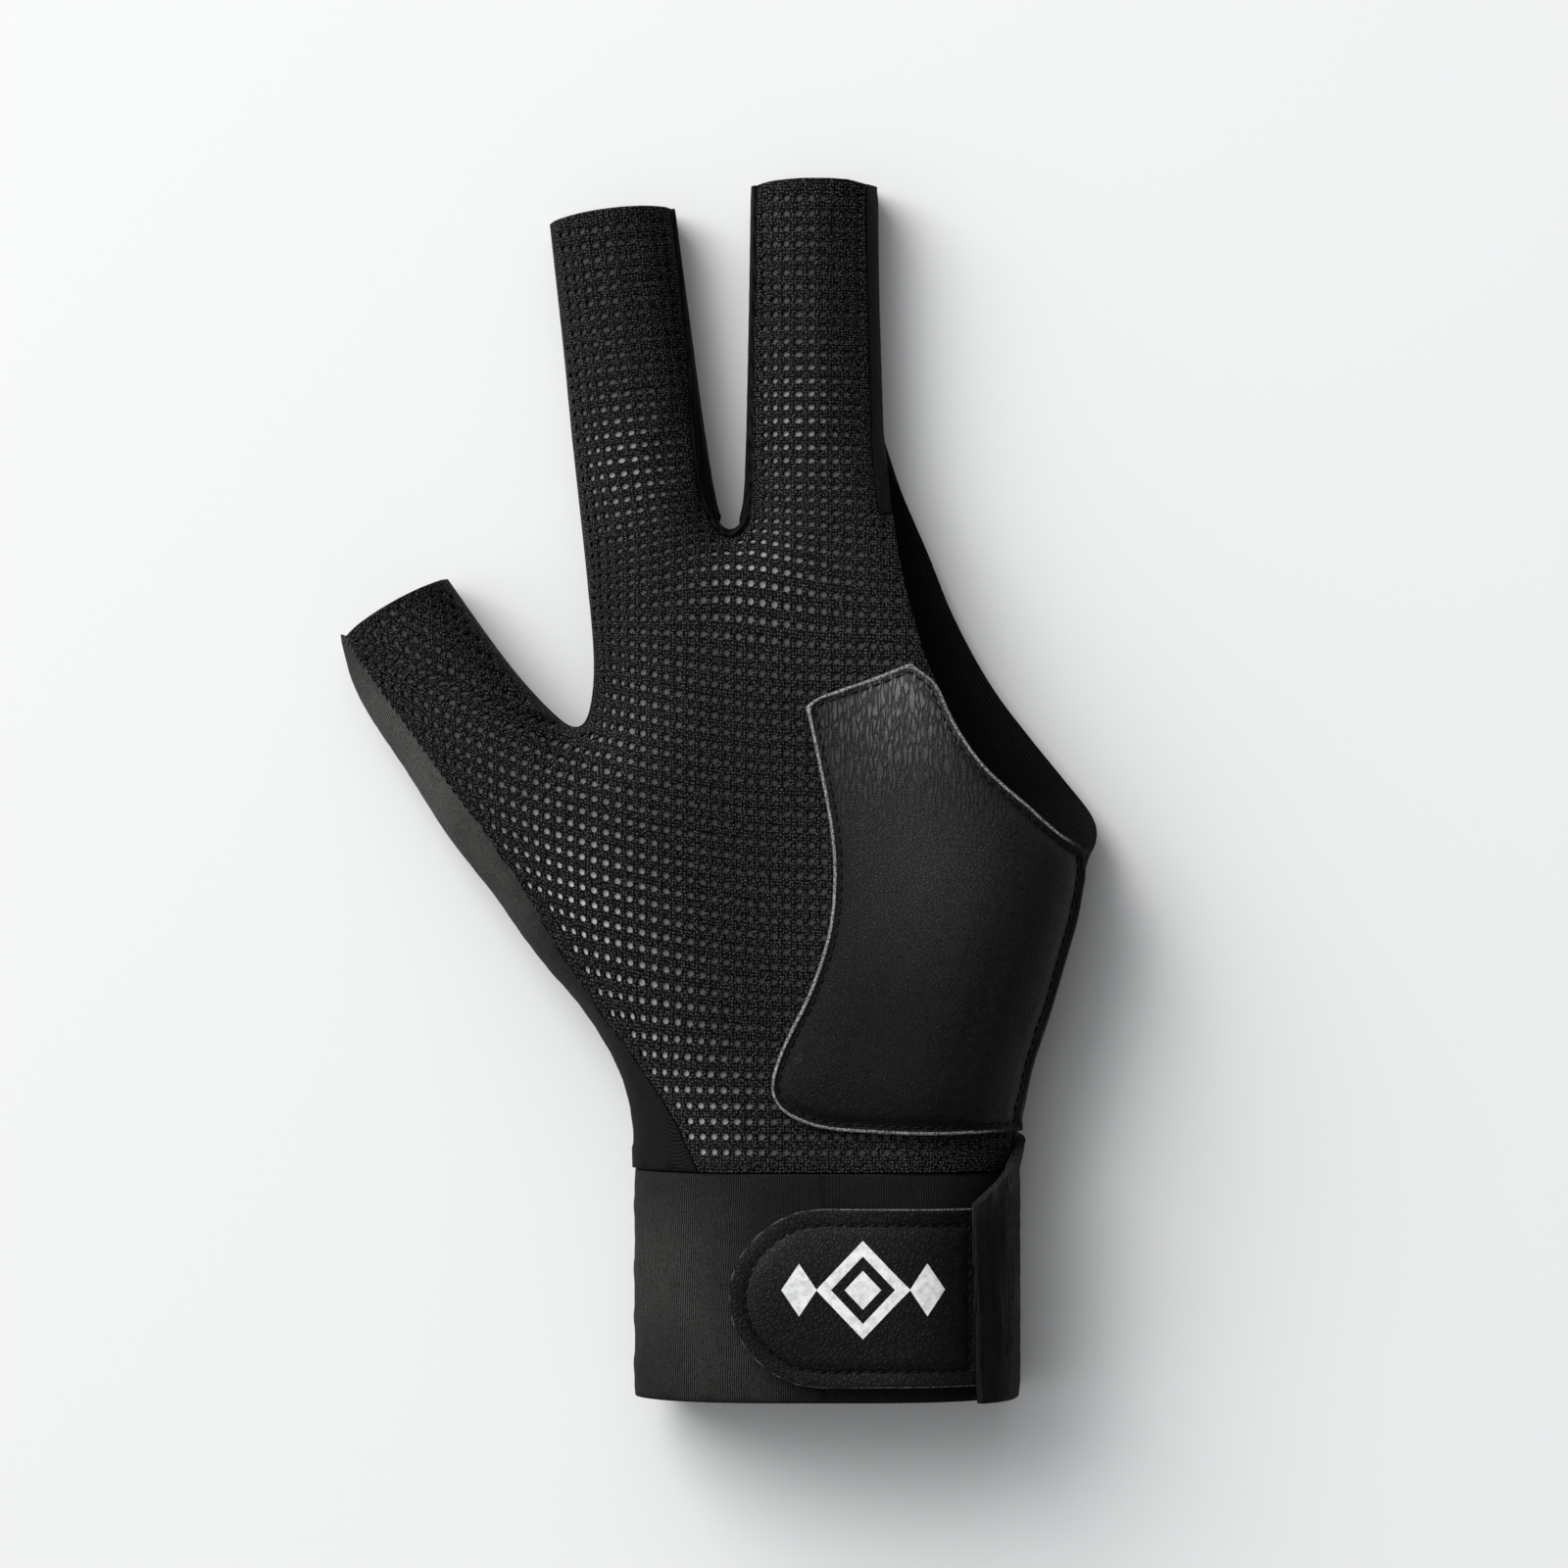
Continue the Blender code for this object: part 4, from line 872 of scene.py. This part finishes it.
back_mesh = smooth_copy("back_panel_knit", "back_panel", 2)
bulge(back_mesh)
plan = vertex_array(back_mesh, "co")[:, :2]
knit = unrolled(back_mesh, STRIP_LEAN, FORK_CENTRE[0])
# The strip is painted lighter partly for stretch and partly as painted light.
stretch_and_light = zones(plan, BACK_STRETCH_AND_LIGHT, BACK_LEAST)
knit_piece(
    "back_panel_knit", "back_panel", back_mesh, back_knit, knit, stretch_and_light
)

gusset_mesh = puffed_gusset()
knit = unrolled(gusset_mesh, math.radians(-4), FORK_CENTRE[0])
stretch_and_light = np.full(len(knit), BACK_LEAST)
knit_piece(
    "finger_gusset_knit", "finger_gusset", gusset_mesh, back_knit, knit, stretch_and_light
)

cuff_mesh = smooth_copy("wrist_cuff_knit", "wrist_cuff", 2)
plan = vertex_array(cuff_mesh, "co")[:, :2]
# The cuff is painted lighter on its left, lit side: painted light.
stretch_and_light = zones(plan, CUFF_PAINTED_LIGHT, CUFF_LEAST)
knit = around(cuff_mesh)
knit_piece("wrist_cuff_knit", "wrist_cuff", cuff_mesh, cuff_knit, knit, stretch_and_light)

# Strap wing
# The strap is an elastic wing cut with the cuff. It comes round the side, and the tab pulls it into
# upright folds, with one thick fold that rolls over at its top corner.
FOLD_WIDTH = 1.7
FOLD_RELIEF = 0.28 * MM
WING_MIDDLE = 30 * MM
# Where the wing is lighter: x, y and reach in mm, how much
WING_LIGHTER_ZONES = ((38, -2, 4, 0.8), (34, 22, 5, 0.5), (29, 16, 4, 0.4))
# The wing is cut from the cuff's knit; its darker colours here are painted shade.
wing_knit_painted_shade = knit_material("wing_rib_knit_painted_shade", "#020202", "#3A3A38", 0.5)
mesh = smooth_copy("strap_wing_knit", "strap_wing", 3)
places, normals = vertex_array(mesh, "co"), vertex_array(mesh, "normal")
bend = places[:, 0] / MM + 0.5 * np.sin(places[:, 1] / MM / 5.5) + 0.12 * places[:, 2] / MM
folds = np.sin(2 * math.pi * bend / FOLD_WIDTH)
folds *= 0.6 + 0.4 * np.sin(places[:, 1] / MM / 3.1 + bend)
low, high = places[:, 1].min(), places[:, 1].max()
inner = smooth_step(low, low + 4 * MM, places[:, 1]) * smooth_step(high, high - 4 * MM, places[:, 1])
places += normals * (FOLD_RELIEF * folds * inner * smooth_step(0.1, 0.5, normals[:, 2]))[:, None]
mesh.vertices.foreach_set("co", places.ravel())
knit = unrolled(mesh, 0, WING_MIDDLE)
stretch_and_light = zones(places[:, :2], WING_LIGHTER_ZONES, 0.25)
knit_piece("strap_wing_knit", "strap_wing", mesh, wing_knit_painted_shade, knit, stretch_and_light)

# Hook tape
# The back of the tab carries the hook half of a hook and loop tape: stiff nylon hooks in rows.
tape, tree = new_material("hook_tape_nylon_woven")
# Hooks stand 1.1 mm apart, and their tips are painted a little lighter: a painted highlight.
place = add(tree, "ShaderNodeTexCoord").outputs["Object"]
hooks = add(
    tree, "ShaderNodeTexVoronoi", {"Vector": place, "Scale": 1000 / 1.1, "Randomness": 0.25}, feature="F1"
)
tip_height_and_painted_shine = add(
    tree,
    "ShaderNodeMapRange",
    {"Value": hooks.outputs["Distance"], "From Max": 0.45, "To Min": 1.0, "To Max": 0.0},
)
shade = add(
    tree,
    "ShaderNodeMix",
    {"Factor": tip_height_and_painted_shine.outputs[0], "A": linear("#060606"), "B": linear("#2A2A2A")},
    data_type="RGBA",
)
relief = add(tree, "ShaderNodeBump", {"Height": tip_height_and_painted_shine.outputs[0], "Strength": 0.9, "Distance": 0.4 * MM})
finish_material(
    tree,
    {
        "Base Color": shade.outputs["Result"],
        "Roughness": 0.5,
        "Normal": relief.outputs["Normal"],
    },
)
hook_tape = link_object("hook_patch_tape", smooth_copy("hook_patch_tape", "hook_patch", 1), tape)
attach(hook_tape, "root")
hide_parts("hook_patch")

# Heel pad
# A patch of thin soft sheep leather over foam, sewn on over the mesh. Its edge is cut raw and shows
# the grey hide, and the seam pulls it down in a groove round the padding.
STITCH = {"Pitch": 2.1 * MM, "Length": 1.6 * MM, "Width": 0.4 * MM}
PAD_EDGE = 0.7 * MM
PAD_SEAM = 1.4 * MM
PAD_GROOVE = 0.55 * MM
PAD_THICKNESS = 1.1 * MM
PAD_STEP = 1.1 * MM
# Where the pad is painted lighter: a painted highlight at its top and painted sheen over its middle; x, y and
# reach in mm, how much
PAD_PAINTED_HIGHLIGHT = ((16, 105, 11, 0.8), (8, 96, 14, 0.2), (20, 76, 13, 0.16), (14, 62, 10, 0.06))
PAD_LEAST = 0.03
# The pad's right side by y, in mm: its edge is folded under there, and isn't worn
PAD_SIDE = ((25, 30, 78, 82, 105), (30, 38, 46, 52, 40))
PAD_PROFILE = (
    (0, 0.3, 0.7, 1.05, 1.7, 2.4, 3.6, 9, 16),
    (-0.2, 0.08, 0.05, -0.5, -0.55, -0.05, 0.25, 0.45, 0.5),
)


def leather_material(name, dark, lit, grain, roughness, creases=None):
    """Dyed black leather: grain cells of a width in mm, soft folds, and creases across a band.

    The creases' row gives their width and length in mm, their lean, and where along y they start and
    are deepest. Their ridges are painted lighter and their grooves darker, as painted glints and shade.
    The leather is lighter where its attribute is high, which on the pad is a painted highlight.
    """
    material, tree = new_material(name)
    place = add(tree, "ShaderNodeTexCoord").outputs["Object"]
    scaled = add(tree, "ShaderNodeMapping", {"Vector": place, "Scale": (1000, 1000, 1000)}).outputs[0]
    bent = add(tree, "ShaderNodeTexNoise", {"Vector": scaled, "Scale": 0.6, "Detail": 2.0})
    bent = add(
        tree,
        "ShaderNodeVectorMath",
        {0: bent.outputs["Color"], 1: (1, 1, 1), 2: scaled},
        operation="MULTIPLY_ADD",
    )
    cells = add(
        tree,
        "ShaderNodeTexVoronoi",
        {"Vector": bent.outputs[0], "Scale": 1 / grain},
        feature="DISTANCE_TO_EDGE",
    )
    pebble = add(tree, "ShaderNodeMapRange", {"Value": cells.outputs["Distance"], "From Max": 0.22})
    folds = add(
        tree, "ShaderNodeTexNoise", {"Vector": scaled, "Scale": 0.3, "Detail": 5.0, "Roughness": 0.6}
    )
    height = add(
        tree,
        "ShaderNodeMath",
        {0: folds.outputs["Fac"], 1: 1.4, 2: pebble.outputs[0]},
        operation="MULTIPLY_ADD",
    )
    tone = pebble
    if creases:
        width, length, lean, start, deepest = creases
        turned = add(
            tree,
            "ShaderNodeMapping",
            {"Vector": place, "Rotation": (0, 0, lean), "Scale": (1000 / width, 1000 / length, 100)},
        )
        swerve = add(
            tree, "ShaderNodeTexNoise", {"Vector": turned.outputs[0], "Scale": 0.8, "Detail": 2.0}
        )
        swerve = add(
            tree,
            "ShaderNodeVectorMath",
            {0: swerve.outputs["Color"], 1: (1.6, 1.6, 0), 2: turned.outputs[0]},
            operation="MULTIPLY_ADD",
        )
        ridges = add(
            tree,
            "ShaderNodeTexVoronoi",
            {"Vector": swerve.outputs[0], "Scale": 1.0},
            feature="DISTANCE_TO_EDGE",
        )
        ridges = add(
            tree,
            "ShaderNodeMapRange",
            {"Value": ridges.outputs["Distance"], "From Min": 0.02, "From Max": 0.24},
        )
        along = add(tree, "ShaderNodeSeparateXYZ", {"Vector": place}).outputs["Y"]
        band = add(
            tree,
            "ShaderNodeMapRange",
            {"Value": along, "From Min": start, "From Max": deepest, "To Max": 4.5},
            interpolation_type="SMOOTHSTEP",
        )
        height = add(
            tree,
            "ShaderNodeMath",
            {0: ridges.outputs[0], 1: band.outputs[0], 2: height.outputs[0]},
            operation="MULTIPLY_ADD",
        )
        # The creases show in the colour too: painted glints on their ridges and painted shade in their
        # grooves.
        share = add(tree, "ShaderNodeMath", {0: band.outputs[0], 1: 0.22}, operation="MULTIPLY")
        tone = add(
            tree,
            "ShaderNodeMix",
            {"Factor": share.outputs[0], "A": pebble.outputs[0], "B": ridges.outputs[0]},
        )
    stretch_and_light = add(tree, "ShaderNodeAttribute", attribute_name="stretch_and_light")
    # Lighter where the attribute is high: on the pad a painted highlight.
    tone = add(tree, "ShaderNodeMath", {0: tone.outputs[0], 1: 0.75, 2: 0.25}, operation="MULTIPLY_ADD")
    tone = add(
        tree, "ShaderNodeMath", {0: tone.outputs[0], 1: stretch_and_light.outputs["Fac"]}, operation="MULTIPLY"
    )
    shade = add(
        tree,
        "ShaderNodeMix",
        {"Factor": tone.outputs[0], "A": linear(dark), "B": linear(lit)},
        data_type="RGBA",
    )
    gloss = add(
        tree,
        "ShaderNodeMapRange",
        {"Value": folds.outputs["Fac"], "To Min": roughness - 0.08, "To Max": roughness + 0.1},
    )
    dull = add(
        tree,
        "ShaderNodeMath",
        {0: stretch_and_light.outputs["Fac"], 1: -0.15, 2: gloss.outputs[0]},
        operation="MULTIPLY_ADD",
    )
    relief = add(
        tree, "ShaderNodeBump", {"Height": height.outputs[0], "Strength": 0.8, "Distance": 0.1 * MM}
    )
    finish_material(
        tree,
        {
            "Base Color": shade.outputs["Result"],
            "Roughness": dull.outputs[0],
            "Specular IOR Level": 0.1,
            "Normal": relief.outputs["Normal"],
        },
    )
    return material


def panel(name, skin, ring, cuts, step, rows, height_of, thickness, edge=None):
    """A closed sheet over a skin, inside a ring and outside the cuts.

    It has rows of points at given distances in mm inside the ring, and a function gives its height
    over a plan. Where edge is given, faces nearer the ring than that take the second material.
    """
    spots = spots_in(ring, step, [d * MM for d in rows])
    for cut in cuts:
        spots = spots[~inside(spots, cut) & (rim_distance(spots, cut)[0] > step / 4)]
    plan, top, loops = triangles_in(ring, cuts, spots)
    distance, _ = rim_distance(plan, ring)
    points, normals = skin.at(plan)
    upper = points + normals * height_of(plan)[:, None]
    lower = upper - normals * thickness
    first = len(plan)
    walls = wall_faces(ring, 0, first)
    for loop in loops:
        pairs = zip(loop, loop[1:] + loop[:1])
        turn = turning(plan[loop])
        walls += [(b, a, first + a, first + b)[::-turn] for a, b in pairs]
    mesh = bpy.data.meshes.new(name)
    mesh.from_pydata(
        [*map(tuple, upper), *map(tuple, lower)],
        [],
        [*top.tolist(), *(top[:, ::-1] + first).tolist(), *walls],
    )
    if edge:
        raw = np.zeros(len(mesh.polygons), np.int32)
        raw[: len(top)] = distance[top].mean(1) < edge
        raw[2 * len(top) :] = 1
        mesh.polygons.foreach_set("material_index", raw)
    mesh.shade_smooth()
    mesh.set_sharp_from_angle(angle=math.radians(60))
    return mesh


thread, tree = new_material("polyester_sewing_thread")
# Twisted black thread, a little shinier than the cloth. The twist shows as slanting lines.
place = add(tree, "ShaderNodeTexCoord").outputs["Object"]
twist = add(tree, "ShaderNodeMapping", {"Vector": place, "Rotation": (0, 0, math.radians(40))})
twist = add(
    tree, "ShaderNodeTexWave", {"Vector": twist.outputs[0], "Scale": 1000 / 0.25 / 20, "Distortion": 1.0}
)
shade = add(
    tree,
    "ShaderNodeMix",
    {"Factor": twist.outputs["Fac"], "A": linear("#030303"), "B": linear("#121212")},
    data_type="RGBA",
)
finish_material(
    tree,
    {
        "Base Color": shade.outputs["Result"],
        "Roughness": 0.5,
        "Specular IOR Level": 0.12,
    },
)

seam_tree = bpy.data.node_groups.new("seam_stitches", "GeometryNodeTree")
start, stop = named_inputs(seam_tree, Pitch=2 * MM, Length=1.5 * MM, Width=0.35 * MM)
line = add(seam_tree, "GeometryNodeMeshToCurve", {"Mesh": start.outputs["Geometry"]})
spots = add(
    seam_tree,
    "GeometryNodeCurveToPoints",
    {"Curve": line.outputs[0], "Length": start.outputs["Pitch"]},
    mode="LENGTH",
)
thin = add(seam_tree, "ShaderNodeMath", {0: start.outputs["Width"], 1: 0.5}, operation="MULTIPLY")
long = add(seam_tree, "ShaderNodeMath", {0: start.outputs["Length"], 1: 0.5}, operation="MULTIPLY")
size = add(
    seam_tree,
    "ShaderNodeCombineXYZ",
    {"X": thin.outputs[0], "Y": thin.outputs[0], "Z": long.outputs[0]},
)
ball = add(seam_tree, "GeometryNodeMeshUVSphere", {"Segments": 6, "Rings": 4, "Radius": 1.0})
stitch = add(
    seam_tree, "GeometryNodeTransform", {"Geometry": ball.outputs["Mesh"], "Scale": size.outputs[0]}
)
laid = add(
    seam_tree,
    "GeometryNodeInstanceOnPoints",
    {"Points": spots.outputs["Points"], "Instance": stitch.outputs[0], "Rotation": spots.outputs["Rotation"]},
)
whole = add(seam_tree, "GeometryNodeRealizeInstances", {"Geometry": laid.outputs[0]})
sewn = add(
    seam_tree, "GeometryNodeSetMaterial", {"Geometry": whole.outputs[0], "Material": thread}
)
seam_tree.links.new(sewn.outputs[0], stop.inputs["Geometry"])


def seam(name, skin, plan, height, slot, **sizes):
    """A row of stitches along a closed plan line, at a height over a skin."""
    points, normals = skin.at(plan)
    points = points + normals * height
    edges = [(i, (i + 1) % len(points)) for i in range(len(points))]
    mesh = bpy.data.meshes.new(name)
    mesh.from_pydata([*map(tuple, points)], edges, [])
    made = applied(mesh, seam_tree, **sizes)
    made.shade_smooth()
    piece = link_object(name, made)
    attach(piece, "root")


pad_leather = leather_material(
    "pad_sheep_leather", "#060606", "#676765", 0.55, 0.5, (0.75, 3.4, math.radians(-7), 0.074, 0.102)
)
raw_edge, tree = new_material("leather_raw_edge")
# The cut edge shows the undyed middle of the hide, rubbed fluffy and grey on its upper rim. Its wall,
# where it faces sideways, is painted near black as painted shade, and it is rubbed only where the wear
# attribute says.
place = add(tree, "ShaderNodeTexCoord").outputs["Object"]
fuzz = add(tree, "ShaderNodeTexNoise", {"Vector": place, "Scale": 2600.0, "Detail": 3.0})
fuzz = add(tree, "ShaderNodeMapRange", {"Value": fuzz.outputs["Fac"], "From Min": 0.35, "From Max": 0.65})
# Painted shade: the edge is painted darker the more it faces sideways.
painted_top_light = add(tree, "ShaderNodeSeparateXYZ", {"Vector": add(tree, "ShaderNodeNewGeometry").outputs["Normal"]})
painted_top_light = add(
    tree,
    "ShaderNodeMapRange",
    {"Value": painted_top_light.outputs["Z"], "From Min": 0.25, "From Max": 0.7, "To Min": 0.06},
)
wear = add(tree, "ShaderNodeAttribute", attribute_name="wear")
rubbed = add(tree, "ShaderNodeMath", {0: painted_top_light.outputs[0], 1: wear.outputs["Fac"]}, operation="MULTIPLY")
shade = add(
    tree,
    "ShaderNodeMix",
    {"Factor": fuzz.outputs[0], "A": linear("#363636"), "B": linear("#9C9C99")},
    data_type="RGBA",
)
shade = add(
    tree,
    "ShaderNodeMix",
    {"Factor": rubbed.outputs[0], "A": linear("#080808"), "B": shade.outputs["Result"]},
    data_type="RGBA",
)
relief = add(tree, "ShaderNodeBump", {"Height": fuzz.outputs[0], "Strength": 0.8, "Distance": 0.15 * MM})
finish_material(
    tree,
    {
        "Base Color": shade.outputs["Result"],
        "Roughness": 0.9,
        "Specular IOR Level": 0.1,
        "Normal": relief.outputs["Normal"],
    },
)
pad_ring = resampled(pad_skin.rims[0], 1.0 * MM)


def pad_height(plan):
    return np.interp(rim_distance(plan, pad_ring)[0] / MM, *PAD_PROFILE) * MM


pad_rows = PAD_PROFILE[0][1:7]
mesh = panel(
    "heel_pad_leather", pad_skin, pad_ring, [], PAD_STEP, pad_rows, pad_height, PAD_THICKNESS, PAD_EDGE
)
plan = vertex_array(mesh, "co")[:, :2]
# The pad is painted lighter at its top and middle: a painted highlight.
store(mesh, "stretch_and_light", zones(plan, PAD_PAINTED_HIGHLIGHT, PAD_LEAST))
from_side = np.interp(plan[:, 1] / MM, *PAD_SIDE) * MM - plan[:, 0]
store(mesh, "wear", np.clip(0.12 + smooth_step(0, 9 * MM, from_side), 0, 1))
pad = link_object("heel_pad_leather", mesh, pad_leather, raw_edge)
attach(pad, "root")
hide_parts("heel_pad")
pad_line = moved_in(pad_ring, PAD_SEAM)
seam("heel_pad_stitches", pad_skin, pad_line, -PAD_GROOVE + 0.12 * MM, "soft_leather", **STITCH)

# Strap tab
# The pull tab is a firmer grained leather with a round end, cut raw and sewn near its edge to the
# hook tape under it. A row of lozenges, as inlaid in a cue, is printed on it in white.
TAB_PROFILE = (
    (0, 0.22, 0.6, 2.3, 2.9, 3.5, 5, 9),
    (-0.2, 0.02, 0, 0, -0.38, 0.02, 0.2, 0.35),
)
TAB_SEAM = 2.9 * MM
TAB_THICKNESS = 1.5 * MM
TAB_STEP = 1.0 * MM
TAB_EDGE = 0.16 * MM
# Where the tab is lighter: x, y and reach in mm, how much
TAB_LIGHTER_ZONES = ((-10, 9, 7, 0.14), (4, 11, 7, 0.08))
tab_skin = Skin("strap_tab")
tab_leather = leather_material("tab_grained_leather", "#060606", "#5A5A58", 0.85, 0.48)
tab_ring = resampled(tab_skin.rims[0], 0.9 * MM)


def tab_height(plan):
    return np.interp(rim_distance(plan, tab_ring)[0] / MM, *TAB_PROFILE) * MM


tab_rows = TAB_PROFILE[0][1:7]
mesh = panel(
    "strap_tab_leather", tab_skin, tab_ring, [], TAB_STEP, tab_rows, tab_height, TAB_THICKNESS, TAB_EDGE
)
plan = vertex_array(mesh, "co")[:, :2]
store(mesh, "stretch_and_light", zones(plan, TAB_LIGHTER_ZONES, 0.05))
store(mesh, "wear", np.full(len(plan), 0.55))
tab = link_object("strap_tab_leather", mesh, tab_leather, raw_edge)
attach(tab, "root")
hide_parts("strap_tab")
tab_line = moved_in(tab_ring, TAB_SEAM)
seam("strap_tab_stitches", tab_skin, tab_line, -0.2 * MM, "tab_leather", **STITCH)

PRINT_CENTRE = from_photo(879, 1307)
PRINT_STEP = 0.6 * MM
INK_RISE = 0.08 * MM
ink, tree = new_material("white_screen_print_ink")
# Thick white plastisol ink, rubbed a little grey, that takes up the grain of the leather.
place = add(tree, "ShaderNodeTexCoord").outputs["Object"]
worn = add(tree, "ShaderNodeTexNoise", {"Vector": place, "Scale": 900.0, "Detail": 4.0})
worn = add(tree, "ShaderNodeMapRange", {"Value": worn.outputs["Fac"], "From Min": 0.35, "From Max": 0.6})
shade = add(
    tree,
    "ShaderNodeMix",
    {"Factor": worn.outputs[0], "A": linear("#C9C9C9"), "B": linear("#E9E9E9")},
    data_type="RGBA",
)
grain = add(
    tree, "ShaderNodeTexVoronoi", {"Vector": place, "Scale": 1000 / 0.85}, feature="DISTANCE_TO_EDGE"
)
relief = add(
    tree, "ShaderNodeBump", {"Height": grain.outputs["Distance"], "Strength": 0.4, "Distance": 0.1 * MM}
)
finish_material(
    tree,
    {
        "Base Color": shade.outputs["Result"],
        "Roughness": 0.55,
        "Normal": relief.outputs["Normal"],
    },
)


def printed(name, ring, cuts):
    """A film of ink on the tab inside a ring and outside the cuts."""
    mesh = panel(
        name, tab_skin, ring, cuts, PRINT_STEP, (), lambda plan: tab_height(plan) + INK_RISE, 2 * INK_RISE
    )
    piece = link_object(name, mesh, ink)
    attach(piece, "root")


def lozenge(half_length, half_width, shift=0):
    corners = np.array([(half_length, 0), (0, half_width), (-half_length, 0), (0, -half_width)])
    pairs = zip(corners, np.roll(corners, -1, axis=0))
    sides = [a + (b - a) * share for a, b in pairs for share in np.arange(0, 1, 0.125)]
    return np.array(sides) * MM + (PRINT_CENTRE[0] + shift * MM, PRINT_CENTRE[1])


printed("print_lozenge", lozenge(8.2, 8.6), [lozenge(5.6, 5.9)])
printed("print_lozenge_middle", lozenge(3.2, 3.4), [])
printed("print_lozenge_left", lozenge(3.1, 4.6, -11.2), [])
printed("print_lozenge_right", lozenge(3.1, 4.6, 11.2), [])
